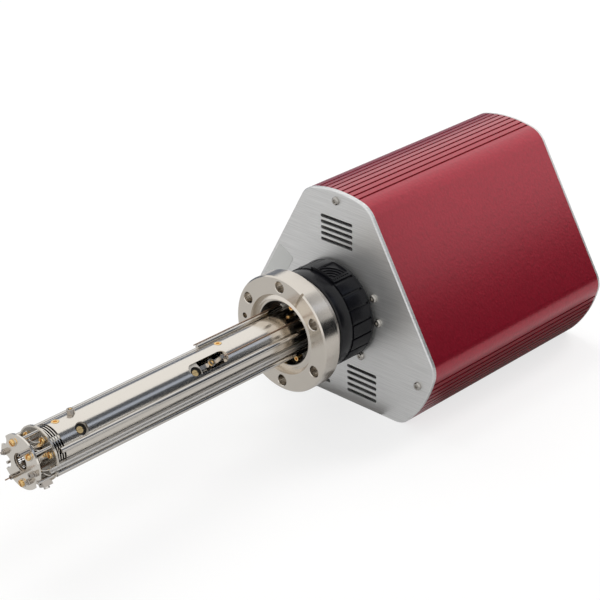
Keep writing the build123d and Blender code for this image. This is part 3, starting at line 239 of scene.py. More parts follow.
@dataclass(frozen=True)
class Finish:
    """A surface finish made of one shader with a grain, a pebble texture, broad patches and painted shade.

    grain holds the lines' frequency along X, Y and Z per metre, pebble and mottle_size are frequencies per
    metre too, depth_um is how deep lines or pebbles go in micrometres, and shade_radius is in millimetres.
    """

    name: str
    colour: Colour
    metallic: float = 1.0
    roughness: float = 0.3
    spread: float = 0.1
    grain: Point = (400.0, 400.0, 400.0)
    depth_um: float = 0.0
    pebble: float = 0.0
    mottle: float = 0.12
    mottle_size: float = 60.0
    coat: float = 0.0
    coat_roughness: float = 0.1
    specular: float = 0.5
    crease_shade: float = 0.0
    streak: float = 0.0
    shade_radius: float = 0.0
    shade: float = 0.25

    def make(self, effects: Effects) -> bpy.types.Material:
        """Build the material.

        Args:
            effects: the shared node groups.

        Returns:
            The new material.
        """
        material, sheet = new_material(self.name)
        grain = sheet.add("Group", {"Scale": self.grain, "Base": self.roughness, "Spread": self.spread},
                          node_tree=effects.grain)
        patches = sheet.add("Group", {"Size": self.mottle_size, "Amount": self.mottle},
                            node_tree=effects.mottle)
        colour = sheet.tone(self.colour, patches.outputs["Value"])
        height = grain.outputs["Height"]
        if self.streak:
            lines = sheet.math("ADD", 1.0 - self.streak / 2, sheet.math("MULTIPLY", height, self.streak))
            colour = sheet.tone(colour, lines)
        # painted shade: the colour is darkened in recesses nearer the probe's axis than shade_radius
        if self.shade_radius:
            colour = self.shaded(sheet, colour)
        if self.pebble:
            pebbles = sheet.add("Group", {"Size": self.pebble}, node_tree=effects.pebble)
            height = pebbles.outputs["Height"]
            # painted shade: the colour is darkened in the creases between the pebbles
            tint = sheet.math("MULTIPLY", pebbles.outputs["Crease"], self.crease_shade)
            colour = sheet.tone(colour, sheet.math("SUBTRACT", 1.0, tint))
        shader = sheet.add("BsdfPrincipled", {
            "Base Color": colour,
            "Roughness": grain.outputs["Roughness"],
            "Metallic": self.metallic,
            "Specular IOR Level": self.specular,
            "Coat Weight": self.coat,
            "Coat Roughness": self.coat_roughness,
        })
        if self.depth_um:
            bump = sheet.add("Bump", {"Height": height, "Strength": 1.0, "Distance": self.depth_um * UM})
            sheet.tree.links.new(bump.outputs[0], shader.inputs["Normal"])
        sheet.add("OutputMaterial", {"Surface": shader.outputs[0]})
        return material

    def shaded(self, sheet: NodeSheet, colour: Socket) -> Socket:
        """Paint shade into a colour: darken it in recesses that lie nearer the probe's axis than the shade
        radius.

        Args:
            sheet: the material's tree.
            colour: the socket of the colour outside the recesses.

        Returns:
            The socket of the darkened colour.
        """
        place = sheet.add("SeparateXYZ", {0: sheet.place()}).outputs
        squares = [sheet.math("MULTIPLY", place[axis], place[axis]) for axis in ("X", "Z")]
        radius = sheet.math("SQRT", sheet.math("ADD", *squares))
        edge = self.shade_radius * MM
        level = sheet.add("MapRange", {"Value": radius, "From Min": edge - MM / 2, "From Max": edge,
                                       "To Min": self.shade, "To Max": 1.0}).outputs[0]
        return sheet.tone(colour, level)


TURNED = Finish("Turned steel", (0.70, 0.65, 0.585), roughness=0.20, grain=(700.0, 700.0, 700.0),
                mottle=0.08, depth_um=2.0)
FINISHES = {
    "polished_tube": Finish("Polished tube", (0.76, 0.715, 0.65), roughness=0.17, spread=0.0,
                            grain=(900.0, 60.0, 900.0), mottle=0.05, mottle_size=25.0),
    "turned_steel": TURNED,
    # painted shade: the flange's and the collar's bores are darkened inside their shade radius
    "flange_steel": replace(TURNED, name="Turned flange", shade_radius=19.7, shade=0.22),
    "collar_steel": Finish("Collar steel", (0.60, 0.56, 0.51), roughness=0.28, mottle=0.08,
                           shade_radius=22.4, shade=0.22),
    # painted shade: the base plate is darkened inside its rim, where the source's cavity lies in shade
    "base_plate": Finish("Base plate", (0.66, 0.62, 0.56), roughness=0.24, spread=0.08, mottle=0.1,
                         shade_radius=14.6, shade=0.42),
    "source_steel": Finish("Source steel", (0.80, 0.755, 0.69), roughness=0.17, spread=0.08, mottle=0.1),
    "terminal_steel": Finish("Terminal steel", (0.42, 0.385, 0.35), roughness=0.10, spread=0.06, mottle=0.1),
    "bright_steel": Finish("Bright steel", (0.64, 0.61, 0.57), roughness=0.13, spread=0.06,
                           grain=(900.0, 80.0, 900.0), mottle=0.06),
    "satin_rail": Finish("Satin rail", (0.78, 0.765, 0.74), roughness=0.34,
                         grain=(1500.0, 60.0, 1500.0), mottle=0.06),
    # painted shade: a darkened steel for the feedthrough disc and tube socket deep in the bore
    "dark_steel": Finish("Shaded steel", (0.22, 0.20, 0.185), roughness=0.38, mottle=0.1),
    "gold": Finish("Gold plate", (0.86, 0.58, 0.25), roughness=0.15, spread=0.08),
    # painted shade: the alumina holders are darkened all over, and darker still in their screw pockets
    "holder": Finish("Shaded holder", (0.42, 0.40, 0.37), metallic=0.0, roughness=0.45, mottle=0.05,
                     shade_radius=11.4, shade=0.10),
    "ceramic": Finish("Alumina", (0.86, 0.84, 0.78), metallic=0.0, roughness=0.5, mottle=0.05),
    "drawn_wire": Finish("Drawn wire", (0.42, 0.29, 0.215), roughness=0.35, grain=(2500.0, 100.0, 2500.0)),
    "dark_wire": Finish("Cage wire", (0.34, 0.29, 0.24), spread=0.08),
    "black_plastic": Finish("Black plastic", (0.004, 0.004, 0.006), metallic=0.0, roughness=0.25,
                            spread=0.06, pebble=2600.0, depth_um=3.0, mottle=0.25, mottle_size=90.0,
                            specular=0.34),
    "red_paint": Finish("Red textured paint", (0.37, 0.004, 0.024), metallic=0.62, spread=0.08,
                        pebble=620.0, depth_um=90.0, mottle=0.10, mottle_size=20.0, crease_shade=0.15,
                        coat=0.80, coat_roughness=0.22),
    "brushed_plate": Finish("Brushed aluminium", (0.74, 0.74, 0.735), metallic=0.86, roughness=0.41,
                            spread=0.26, grain=(40.0, 300.0, 1900.0), depth_um=8.0, mottle=0.06,
                            streak=0.60),
    "label_film": Finish("Label film", (0.56, 0.57, 0.56), metallic=0.0, mottle=0.04, coat=0.3),
    "nickel": Finish("Nickel", (0.45, 0.43, 0.40), roughness=0.11, spread=0.06, mottle=0.1),
    "board": Finish("Circuit board", (0.02, 0.16, 0.06), metallic=0.0, roughness=0.35, coat=0.4),
    "tinned": Finish("Tinned cover", (0.60, 0.61, 0.62), roughness=0.35),
    "can": Finish("Capacitor sleeve", (0.03, 0.03, 0.05), metallic=0.0),
    "connector_black": Finish("Connector black", (0.02, 0.02, 0.022), metallic=0.0, roughness=0.45,
                              pebble=2600.0, depth_um=10.0),
    "lens": Finish("Frosted lens", (0.72, 0.82, 0.70), metallic=0.0, roughness=0.25, coat=0.5),
}

# A slot that isn't named here has the finish of its own name.
SLOT_FINISH = {
    "stainless": "turned_steel",
    "polished_steel": "bright_steel",
    "wire": "drawn_wire",
    "plate_aluminium": "brushed_plate",
    "nickel_screw": "nickel",
    "nickel_fitting": "nickel",
    "shield": "tinned",
    "capacitor": "can",
    "led_lens": "lens",
}

NODE_FINISH = {
    "analyser_tube": "polished_tube",
    "rail_bar": "satin_rail",
    "source_front_plate": "source_steel",
    "source_base": "base_plate",
    "ion_cage": "dark_wire",
    "source_tubes": "terminal_steel",
    "source_terminals": "terminal_steel",
    "filament_block": "terminal_steel",
    "cf_flange": "flange_steel",
    "bayonet_collar": "collar_steel",
    "lens_plates": "source_steel",
    "feedthrough_disc": "dark_steel",
    "tube_socket": "dark_steel",
    "front_rod_holder": "holder",
    "rear_rod_holder": "holder",
    "post_conductor": "gold",
    "tube_post": "terminal_steel",
}


class Wardrobe:
    """Holds the finished materials and puts them on nodes and pieces."""

    def __init__(self, effects: Effects) -> None:
        """Make every finish once.

        Args:
            effects: the shared node groups.
        """
        self.materials = {key: finish.make(effects) for key, finish in FINISHES.items()}

    def dress(self, thing: Thing, finish: str) -> None:
        """Give an object one finish all over."""
        if not thing.data.materials:
            thing.data.materials.append(None)
        for index in range(len(thing.data.materials)):
            thing.data.materials[index] = self.materials[finish]

    def dress_nodes(self) -> None:
        """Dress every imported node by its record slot, or by its own entry."""
        for subpart in frame["record"]["subparts"]:
            name, slot = subpart["node"], subpart["material_slot"]
            finish = NODE_FINISH.get(name, SLOT_FINISH.get(slot, slot))
            self.dress(frame["nodes"][name], finish)


# -------- modelling helpers
def deselect() -> None:
    """Leave object mode with nothing selected."""
    if bpy.context.object and bpy.context.object.mode != "OBJECT":
        bpy.ops.object.mode_set(mode="OBJECT")
    bpy.ops.object.select_all(action="DESELECT")


def take(thing: Thing) -> None:
    """Make a thing the only one selected, in object mode."""
    deselect()
    thing.select_set(True)
    bpy.context.view_layer.objects.active = thing


def edit(thing: Thing, mode: str = "FACE") -> None:
    """Open a thing in edit mode with nothing picked.

    Args:
        thing: the object.
        mode: what is picked, VERT, EDGE or FACE.
    """
    take(thing)
    bpy.ops.object.mode_set(mode="EDIT")
    bpy.ops.mesh.select_mode(type=mode)
    bpy.ops.mesh.select_all(action="DESELECT")


def pick_faces(thing: Thing, test: Callable[[Vector, Vector], bool]) -> None:
    """Pick the faces whose centre and normal pass a test, and open the thing in edit mode."""
    edit(thing, "FACE")
    bpy.ops.object.mode_set(mode="OBJECT")
    for face in thing.data.polygons:
        face.select = test(face.center, face.normal)
    bpy.ops.object.mode_set(mode="EDIT")


def pick_edges(thing: Thing, test: Callable[[Vector], bool]) -> None:
    """Pick the edges whose middle passes a test, and open the thing in edit mode."""
    edit(thing, "EDGE")
    bpy.ops.object.mode_set(mode="OBJECT")
    points = thing.data.vertices
    for line in thing.data.edges:
        line.select = test((points[line.vertices[0]].co + points[line.vertices[1]].co) / 2)
    bpy.ops.object.mode_set(mode="EDIT")


def is_any(centre: Vector, normal: Vector) -> bool:
    """Pick every face."""
    return True


def is_top(centre: Vector, normal: Vector) -> bool:
    """Pick the faces that look mostly up."""
    return normal.z > MOSTLY


def is_end(centre: Vector, normal: Vector) -> bool:
    """Pick the faces that look mostly up or down."""
    return abs(normal.z) > MOSTLY


def is_cap(centre: Vector, normal: Vector) -> bool:
    """Pick the flat face that looks squarely up from the middle of a rounded end."""
    return normal.z > SQUARELY and centre.xy.length < MM / 5


def metres(values: Sequence[float]) -> Point:
    """Turn millimetres into metres."""
    return tuple(value * MM for value in values)


def shift(*move: float) -> Matrix:
    """Matrix of a move by a distance in millimetres along X, Y and Z."""
    return Matrix.Translation(metres(move))


def apply_place(thing: Thing, matrix: Optional[Matrix] = None) -> None:
    """Move a thing by a matrix and put its place into its mesh."""
    take(thing)
    if matrix is not None:
        thing.matrix_world = matrix @ thing.matrix_world
    bpy.ops.object.transform_apply(location=True, rotation=True, scale=True)


def pick_low_end(thing: Thing, length: float, axis: int) -> None:
    """Pick the edge at a panel's low end.

    Args:
        thing: the panel, about the origin.
        length: its length along the axis, in millimetres.
        axis: 0 for X or 1 for Y.
    """
    just_inside = -length / 2 * SQUARELY * MM
    pick_edges(thing, lambda middle: middle[axis] < just_inside)


def apply_modifier(thing: Thing, kind: str, **settings: object) -> None:
    """Add a modifier to a thing and apply it.

    Args:
        thing: the object.
        kind: the modifier's type, such as BEVEL.
        settings: its properties.
    """
    take(thing)
    modifier = thing.modifiers.new(kind.title(), kind)
    for key, value in settings.items():
        setattr(modifier, key, value)
    bpy.ops.object.modifier_apply(modifier=modifier.name)


def drum(radius: float, height: float, sides: int) -> Thing:
    """Start a round or many-sided block that stands on the origin, in millimetres."""
    deselect()
    bpy.ops.mesh.primitive_cylinder_add(vertices=sides, radius=radius * MM, depth=height * MM,
                                        location=(0.0, 0.0, height * MM / 2))
    thing = bpy.context.active_object
    apply_place(thing)
    return thing


def panel(length: float, width: float) -> Thing:
    """Start a flat panel about the origin, length along X, in millimetres."""
    deselect()
    bpy.ops.mesh.primitive_plane_add(size=MM)
    thing = bpy.context.active_object
    thing.scale = (length, width, 1.0)
    apply_place(thing)
    return thing


def extrude(*move: float) -> None:
    """Extrude what is picked by a distance in millimetres along X, Y and Z."""
    bpy.ops.mesh.extrude_region_move(TRANSFORM_OT_translate={"value": metres(move)})


def inset(width: float) -> None:
    """Inset the picked faces by a width in millimetres."""
    bpy.ops.mesh.inset(thickness=width * MM)


def soften(width: float, segments: int = 2, affect: str = "EDGES") -> None:
    """Round what is picked by a width in millimetres."""
    bpy.ops.mesh.bevel(offset=width * MM, segments=segments, affect=affect)


def break_edges(thing: Thing, width: float, segments: int = 2, **limits: object) -> None:
    """Round every sharp edge of a thing.

    Args:
        thing: the object.
        width: the rounding's width, in millimetres.
        segments: how many steps it has.
        limits: other settings of the modifier.
    """
    apply_modifier(thing, "BEVEL", width=width * MM, segments=segments, limit_method="ANGLE", **limits)


def join(things: Sequence[Thing]) -> Thing:
    """Join things to the first of them."""
    take(things[0])
    for thing in things:
        thing.select_set(True)
    bpy.ops.object.join()
    return things[0]


def sweep(thing: Thing, angle: float, steps: int) -> None:
    """Sweep a flat section round the Y axis by an angle in degrees."""
    pick_faces(thing, is_any)
    bpy.ops.mesh.spin(steps=steps, angle=radians(angle), center=(0.0, 0.0, 0.0), axis=(0.0, 1.0, 0.0))
    take(thing)


def stepped_drum(radius: float, height: float, sides: int, edge: float, rim: float,
                 step: float) -> Thing:
    """Model a drum with rounded ends and a step in its upper face, in millimetres.

    Args:
        radius: its radius.
        height: its height.
        sides: how many sides it has.
        edge: the rounding's width.
        rim: the width of the face round the step.
        step: how far the middle rises, or sinks where it is negative.

    Returns:
        The drum.
    """
    thing = drum(radius, height, sides)
    pick_faces(thing, is_end)
    soften(edge)
    pick_faces(thing, is_cap)
    inset(rim)
    extrude(0.0, 0.0, step)
    return thing


def cut_box(thing: Thing, size: Point, centre: Point) -> None:
    """Cut a slot with a box.

    Args:
        thing: the object that is cut.
        size: the box along X, Y and Z, in millimetres.
        centre: the box's centre, in millimetres.
    """
    deselect()
    bpy.ops.mesh.primitive_cube_add(size=MM, location=metres(centre))
    cutter = bpy.context.active_object
    cutter.scale = size
    apply_place(cutter)
    apply_modifier(thing, "BOOLEAN", operation="DIFFERENCE", solver="EXACT", object=cutter)
    bpy.data.objects.remove(cutter, do_unlink=True)


def copies(thing: Thing, places: Sequence[Matrix]) -> Thing:
    """Put a copy of a thing at each place and join them to one piece, without the first.

    Args:
        thing: the modelled thing, about the origin.
        places: where the copies go.

    Returns:
        The joined piece.
    """
    made = []
    for place in places:
        copy = thing.copy()
        copy.data = thing.data.copy()
        bpy.context.collection.objects.link(copy)
        apply_place(copy, place)
        made.append(copy)
    bpy.data.objects.remove(thing, do_unlink=True)
    return join(made)


def wire(points: Sequence[Point], thickness: float) -> Thing:
    """Bend a round wire along control points.

    Args:
        points: the points, in millimetres.
        thickness: the wire's diameter, in millimetres.

    Returns:
        The wire as a mesh.
    """
    deselect()
    bpy.ops.curve.primitive_nurbs_path_add()
    thing = bpy.context.active_object
    curve = thing.data
    curve.splines.clear()
    spline = curve.splines.new("NURBS")
    spline.points.add(len(points) - 1)
    for point, place in zip(spline.points, points):
        point.co = (*metres(place), 1.0)
    spline.order_u = 3
    spline.use_endpoint_u = True
    curve.resolution_u = 6
    curve.bevel_depth = thickness * MM / 2
    curve.bevel_resolution = 2
    curve.use_fill_caps = True
    take(thing)
    bpy.ops.object.convert(target="MESH")
    return bpy.context.active_object


def front_of(node: str) -> float:
    """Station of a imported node's front face along Y, in millimetres, to a hundredth."""
    return round(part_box(node)[0].y / MM, 2)


def facing_front(angle: float, radius: float, y: float, turn: float = 0.0) -> Matrix:
    """Stand a thing on a face that looks along -Y.

    Args:
        angle: the place's angle about the probe, in degrees.
        radius: its distance from the axis, in millimetres.
        y: the face's station, in millimetres.
        turn: the thing's own turn, in degrees, where 0 points its X axis outwards.

    Returns:
        The matrix that does so.
    """
    place = Vector((cos(radians(angle)) * radius, y, sin(radians(angle)) * radius)) * MM
    stand = Matrix.Rotation(radians(90.0), 4, "X") @ Matrix.Rotation(radians(angle + turn), 4, "Z")
    return Matrix.Translation(place) @ stand


def facing_out(angle: float, radius: float, y: float) -> Matrix:
    """Stand a thing on a drum about the probe's axis, with its X axis along -Y."""
    outward = Vector((cos(radians(angle)), 0.0, sin(radians(angle))))
    along = Vector((0.0, -1.0, 0.0))
    axes = Matrix((along, outward.cross(along), outward)).transposed().to_4x4()
    return Matrix.Translation((outward * radius + Vector((0.0, y, 0.0))) * MM) @ axes


@dataclass
class Fitter:
    """Finishes modelled meshes as pieces of the object."""

    wardrobe: Wardrobe
    smooth_angle: float = 35.0

    def finish(self, thing: Thing, name: str, finish: str, slot: str, body: Body = Body.ANALYSER,
               replaces: Sequence[str] = ()) -> None:
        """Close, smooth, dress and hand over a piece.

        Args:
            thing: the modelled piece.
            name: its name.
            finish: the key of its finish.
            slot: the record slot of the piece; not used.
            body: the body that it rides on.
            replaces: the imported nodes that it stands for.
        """
        apply_place(thing)
        edit(thing)
        bpy.ops.mesh.select_all(action="SELECT")
        bpy.ops.mesh.normals_make_consistent(inside=False)
        take(thing)
        bpy.ops.object.shade_smooth_by_angle(angle=radians(self.smooth_angle))
        thing.name = name
        thing.data.name = name
        self.wardrobe.dress(thing, finish)
        if replaces:
            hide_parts(*replaces)
        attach(thing, body.value)
        LOG.info("%s: %d faces", name, len(thing.data.polygons))


# -------- ion source
@dataclass
class IonSource:
    """Screws, washers, brackets, wires and shield of the open ion source, in millimetres and degrees.

    Each screw and terminal is given by its angle about the probe, its radius and its own turn.
    """

    front: float = front_of("source_front_plate")
    base: float = front_of("source_base")
    edge: float = 0.08
    head: float = 1.9
    head_height: float = 1.25
    head_round: float = 0.5
    head_sides: int = 28
    slot_width: float = 0.7
    slot_depth: float = 0.85
    washer: float = 2.5
    washer_height: float = 0.35
    washer_band: float = 0.855
    nut: float = 1.65
    nut_height: float = 0.8
    nut_sides: int = 6
    nut_edge: float = 0.12
    nut_rim: float = 0.25
    nut_step: float = 0.12
    terminal_height: float = 1.0
    strip: float = 0.35
    strip_width: float = 3.4
    tab_inner: float = 8.5
    tab_outer: float = 12.9
    tab_rise: float = 6.2
    tab_taper: float = 0.62
    lip_reach: float = 1.5
    lip_rise: float = 0.4
    crimp: float = 0.85
    crimp_height: float = 2.4
    crimp_sides: int = 16
    crimp_rim: float = 0.2
    crimp_step: float = -0.4
    crimp_radius: float = 7.2
    crimp_station: float = -177.6
    crimp_angles: tuple[float, ...] = (124.0, 246.0, -56.0, 66.0)
    wire_thickness: float = 0.55
    shield: float = 6.3
    shield_thickness: float = 0.25
    shield_width: float = 5.6
    shield_station: float = -178.9
    shield_sweep: float = -108.0
    shield_turn: float = -24.0
    shield_steps: int = 24
    front_screws: tuple[Point, ...] = ((114.4, 10.65, 35.0), (39.0, 10.17, 35.0), (-89.0, 12.0, 35.0))
    base_screws: tuple[Point, ...] = ((62.0, 10.9, 10.0), (18.0, 10.9, 75.0), (-100.0, 10.9, 40.0),
                                      (135.0, 10.9, 120.0), (185.0, 10.9, 60.0), (225.0, 10.9, 95.0))
    terminals: tuple[Point, ...] = ((172.1, 11.7, 0.0), (-51.8, 10.68, 15.0), (-6.3, 12.68, 8.0))
    wire_runs: tuple[tuple[Point, ...], ...] = (
        ((-12.9, -176.0, 6.0), (-12.9, -179.4, 6.0), (-10.4, -181.6, 7.4), (-6.4, -181.2, 7.6),
         (-4.1, -179.4, 6.1)),
        ((6.7, -178.0, -12.5), (6.8, -181.2, -12.4), (7.6, -182.2, -9.6), (5.2, -181.6, -7.2),
         (4.1, -179.4, -6.1)),
        ((9.6, -174.6, 6.6), (10.2, -177.4, 7.0), (8.2, -180.8, 8.2), (4.6, -181.2, 7.4),
         (3.0, -179.4, 6.6)),
        ((12.6, -174.4, -3.0), (12.4, -178.2, -3.4), (9.4, -181.6, -2.2), (8.8, -179.4, 1.6),
         (10.4, -177.2, 3.6)),
        ((11.2, -174.4, -7.4), (11.6, -177.0, -7.0), (9.6, -178.8, -5.2), (10.8, -180.8, -4.0),
         (9.4, -182.4, -6.0)),
        ((0.6, -174.4, 12.6), (0.4, -177.8, 12.8), (2.4, -180.4, 11.4), (4.6, -178.6, 10.2),
         (5.4, -176.0, 9.8)),
    )

    def build(self, fitter: Fitter) -> None:
        """Make every piece of the source."""
        for step in (self.build_screws, self.build_washers, self.build_nuts, self.build_brackets,
                     self.build_crimps, self.build_wires, self.build_shield):
            step(fitter)

    def screw_places(self) -> list[Matrix]:
        """Where the gold screws' heads sit: on the front plate, and on the brackets of the base plate."""
        front = [facing_front(angle, radius, self.front - self.washer_height, turn)
                 for angle, radius, turn in self.front_screws]
        base = [facing_front(angle, radius, self.base - self.strip, turn)
                for angle, radius, turn in self.base_screws]
        return front + base

    def build_screws(self, fitter: Fitter) -> None:
        """Domed heads with one deep slot."""
        head = drum(self.head, self.head_height, self.head_sides)
        pick_faces(head, is_top)
        soften(self.head_round, 4)
        cut_box(head, (self.head * 3, self.slot_width, self.slot_depth * 2), (0.0, 0.0, self.head_height))
        piece = copies(head, self.screw_places())
        fitter.finish(piece, "source_screw_heads", "gold", "gold", replaces=("source_gold_screws",))

    def build_washers(self, fitter: Fitter) -> None:
        """Flat washers under the screws of the front plate."""
        washer = self.ring(self.washer, self.washer_band, self.washer_height)
        places = [facing_front(angle, radius, self.front) for angle, radius, _ in self.front_screws]
        fitter.finish(copies(washer, places), "source_washers", "bright_steel", "stainless")

    def ring(self, outer: float, band: float, height: float) -> Thing:
        """Model a flat ring with broken edges that stands on the origin."""
        deselect()
        bpy.ops.mesh.primitive_circle_add(vertices=32, radius=outer * MM, fill_type="NGON")
        thing = bpy.context.active_object
        pick_faces(thing, is_any)
        inset(band)
        bpy.ops.mesh.delete(type="FACE")
        bpy.ops.mesh.select_all(action="SELECT")
        extrude(0.0, 0.0, height)
        break_edges(thing, height / 5)
        return thing

    def build_nuts(self, fitter: Fitter) -> None:
        """Hexagon nuts on the terminals' pins."""
        nut = stepped_drum(self.nut, self.nut_height, self.nut_sides, self.nut_edge, self.nut_rim,
                           self.nut_step)
        places = [facing_front(angle, radius, self.front - self.terminal_height, turn)
                  for angle, radius, turn in self.terminals]
        fitter.finish(copies(nut, places), "terminal_nuts", "terminal_steel", "polished_steel")

    def build_brackets(self, fitter: Fitter) -> None:
        """Bent strips that the base plate's screws clamp, each with a foot, an upright and a lip."""
        length = self.tab_outer - self.tab_inner
        strip = panel(length, self.strip_width)
        pick_low_end(strip, length, 0)
        extrude(0.0, 0.0, self.tab_rise)
        bpy.ops.transform.resize(value=(1.0, self.tab_taper, 1.0))
        extrude(self.lip_reach, 0.0, self.lip_rise)
        apply_modifier(strip, "SOLIDIFY", thickness=self.strip * MM, offset=1.0)
        break_edges(strip, self.edge)
        middle = (self.tab_inner + self.tab_outer) / 2
        places = [facing_front(angle, middle, self.base) for angle, _, _ in self.base_screws]
        fitter.finish(copies(strip, places), "filament_brackets", "bright_steel", "stainless")

    def build_crimps(self, fitter: Fitter) -> None:
        """Small barrels that hold the ends of the filaments."""
        barrel = stepped_drum(self.crimp, self.crimp_height, self.crimp_sides, self.crimp_rim,
                              self.crimp_rim, self.crimp_step)
        places = [facing_front(angle, self.crimp_radius, self.crimp_station) for angle in self.crimp_angles]
        fitter.finish(copies(barrel, places), "filament_crimps", "bright_steel", "polished_steel")

    def build_wires(self, fitter: Fitter) -> None:
        """Bent wires from the leads and the block to the filaments, and between the brackets."""
        bundle = join([wire(run, self.wire_thickness) for run in self.wire_runs])
        fitter.finish(bundle, "source_wires", "bright_steel", "wire")

    def build_shield(self, fitter: Fitter) -> None:
        """A thin curved shield above the cage, with rounded edges."""
        strip = panel(self.shield_thickness, self.shield_width)
        apply_place(strip, shift(self.shield, self.shield_station, 0.0))
        sweep(strip, self.shield_sweep, self.shield_steps)
        break_edges(strip, self.edge)
        apply_place(strip, Matrix.Rotation(radians(self.shield_turn), 4, "Y"))
        fitter.finish(strip, "cage_shield", "source_steel", "stainless")


# -------- locking ring
@dataclass
class RingGrips:
    """Small moulded teeth and a raised grip on the locking ring, in millimetres and degrees."""

    frame_radius: float = 30.6
    edge: float = 0.18
    merge: float = 0.005
    flat_angle: float = 1.0
    sharp_angle: float = 40.0
    tooth_length: float = 0.9
    tooth_width: float = 0.7
    tooth_height: float = 0.5
    tooth_round: float = 0.22
    teeth: int = 8
    tooth_pitch: float = 1.62
    tooth_angle: float = 64.2
    tooth_sink: float = 0.1
    first_tooth: float = 30.2
    serrations: int = 15
    serration_pitch: float = 1.15
    serration_angle: float = 77.0
    serration_sink: float = 0.15
    serration_station: float = 29.25
    degrees_per_mm: float = 1.9
    pad_radius: float = 29.8
    grip_rise: float = 1.0
    grip_edge: float = 0.35
    grip_start: float = 98.0
    grip_sweep: float = 10.0
    grip_steps: int = 8
    grip_front: float = 29.4
    grip_back: float = 42.6

    def build(self, fitter: Fitter) -> None:
        """Make the moulding, the teeth and the grip."""
        self.build_moulding(fitter)
        self.build_teeth(fitter)
        self.build_grip(fitter)

    def build_moulding(self, fitter: Fitter) -> None:
        """The ring itself with its moulded edges broken, from a merged copy of its solid."""
        solid = frame["nodes"]["locking_ring"]
        moulding = solid.copy()
        moulding.data = solid.data.copy()
        moulding.parent = None
        bpy.context.collection.objects.link(moulding)
        moulding.matrix_world = Matrix.Identity(4)
        edit(moulding)
        bpy.ops.mesh.select_all(action="SELECT")
        bpy.ops.mesh.remove_doubles(threshold=self.merge * MM)
        bpy.ops.mesh.dissolve_limited(angle_limit=radians(self.flat_angle))
        take(moulding)
        break_edges(moulding, self.edge, angle_limit=radians(self.sharp_angle), use_clamp_overlap=True)
        fitter.finish(moulding, "ring_moulding", "black_plastic", "black_plastic", Body.RING,
                      ("locking_ring",))

    def build_teeth(self, fitter: Fitter) -> None:
        """Rows of low teeth beside and before the sunk window."""
        tooth = panel(self.tooth_length, self.tooth_width)
        pick_faces(tooth, is_any)
        extrude(0.0, 0.0, self.tooth_height)
        pick_faces(tooth, is_top)
        soften(self.tooth_round)
        row = [facing_out(self.tooth_angle, self.frame_radius - self.tooth_sink,
                          self.first_tooth + step * self.tooth_pitch)
               for step in range(self.teeth)]
        middle = (self.serrations - 1) / 2
        pitch = self.serration_pitch * self.degrees_per_mm
        arc = [facing_out(self.serration_angle + (step - middle) * pitch,
                          self.frame_radius - self.serration_sink, self.serration_station)
               for step in range(self.serrations)]
        fitter.finish(copies(tooth, row + arc), "ring_teeth", "black_plastic", "black_plastic", Body.RING)

    def build_grip(self, fitter: Fitter) -> None:
        """A raised grip on the pad beside the window."""
        length = self.grip_back - self.grip_front
        block = panel(self.grip_rise, length)
        apply_place(block, shift(self.pad_radius + self.grip_rise / 2, self.grip_front + length / 2, 0.0))
        sweep(block, -self.grip_sweep, self.grip_steps)
        break_edges(block, self.grip_edge, 3)
        apply_place(block, Matrix.Rotation(radians(-self.grip_start), 4, "Y"))
        fitter.finish(block, "ring_grip", "black_plastic", "black_plastic", Body.RING)


# -------- electronics box
@dataclass
class BoxFittings:
    """Bare label on the front plate and contacts in the network socket, in millimetres and degrees."""

    plate: float = front_of("front_plate")
    box_drop: float = 3.0
    label_width: float = 13.0
    label_length: float = 34.0
    label_corner: float = 1.5
    label_reach: float = 48.2
    label_top: float = 2.3
    label_thickness: float = 0.12
    label_angle: float = 150.0
    contacts: int = 8
    contact_pitch: float = 1.02
    contact_width: float = 0.45
    contact_foot: float = 1.2
    contact_reach: float = 6.2
    contact_drop: float = 1.7
    contact_tip: float = 0.8
    contact_tip_rise: float = 0.5
    contact_thickness: float = 0.25
    contact_edge: float = 0.06
    socket: Point = (-26.0, 202.6, -27.1)

    def build(self, fitter: Fitter) -> None:
        """Make the label and the contacts."""
        self.build_label(fitter)
        self.build_contacts(fitter)

    def build_label(self, fitter: Fitter) -> None:
        """A bare film with rounded corners, along the plate's left side."""
        label = panel(self.label_length, self.label_width)
        edit(label, "VERT")
        bpy.ops.mesh.select_all(action="SELECT")
        soften(self.label_corner, 6, "VERTICES")
        bpy.ops.mesh.select_all(action="SELECT")
        extrude(0.0, 0.0, self.label_thickness)
        side = radians(self.label_angle)
        along = radians(self.label_angle - 90.0)
        slide = self.label_top - self.label_length / 2
        x = cos(side) * self.label_reach + cos(along) * slide
        z = sin(side) * self.label_reach + sin(along) * slide - self.box_drop
        stand = Matrix.Rotation(radians(90.0), 4, "X") @ Matrix.Rotation(along, 4, "Z")
        apply_place(label, shift(x, self.plate, z) @ stand)
        fitter.finish(label, "plate_label", "label_film", "plate_aluminium")

    def build_contacts(self, fitter: Fitter) -> None:
        """Sprung contact wires in the network socket."""
        strip = panel(self.contact_width, self.contact_foot)
        pick_low_end(strip, self.contact_foot, 1)
        extrude(0.0, -self.contact_reach, -self.contact_drop)
        extrude(0.0, -self.contact_tip, self.contact_tip_rise)
        apply_modifier(strip, "SOLIDIFY", thickness=self.contact_thickness * MM, offset=0.0)
        break_edges(strip, self.contact_edge)
        middle = (self.contacts - 1) / 2
        x, y, z = self.socket
        places = [shift(x + (step - middle) * self.contact_pitch, y, z) for step in range(self.contacts)]
        fitter.finish(copies(strip, places), "socket_contacts", "gold", "gold")


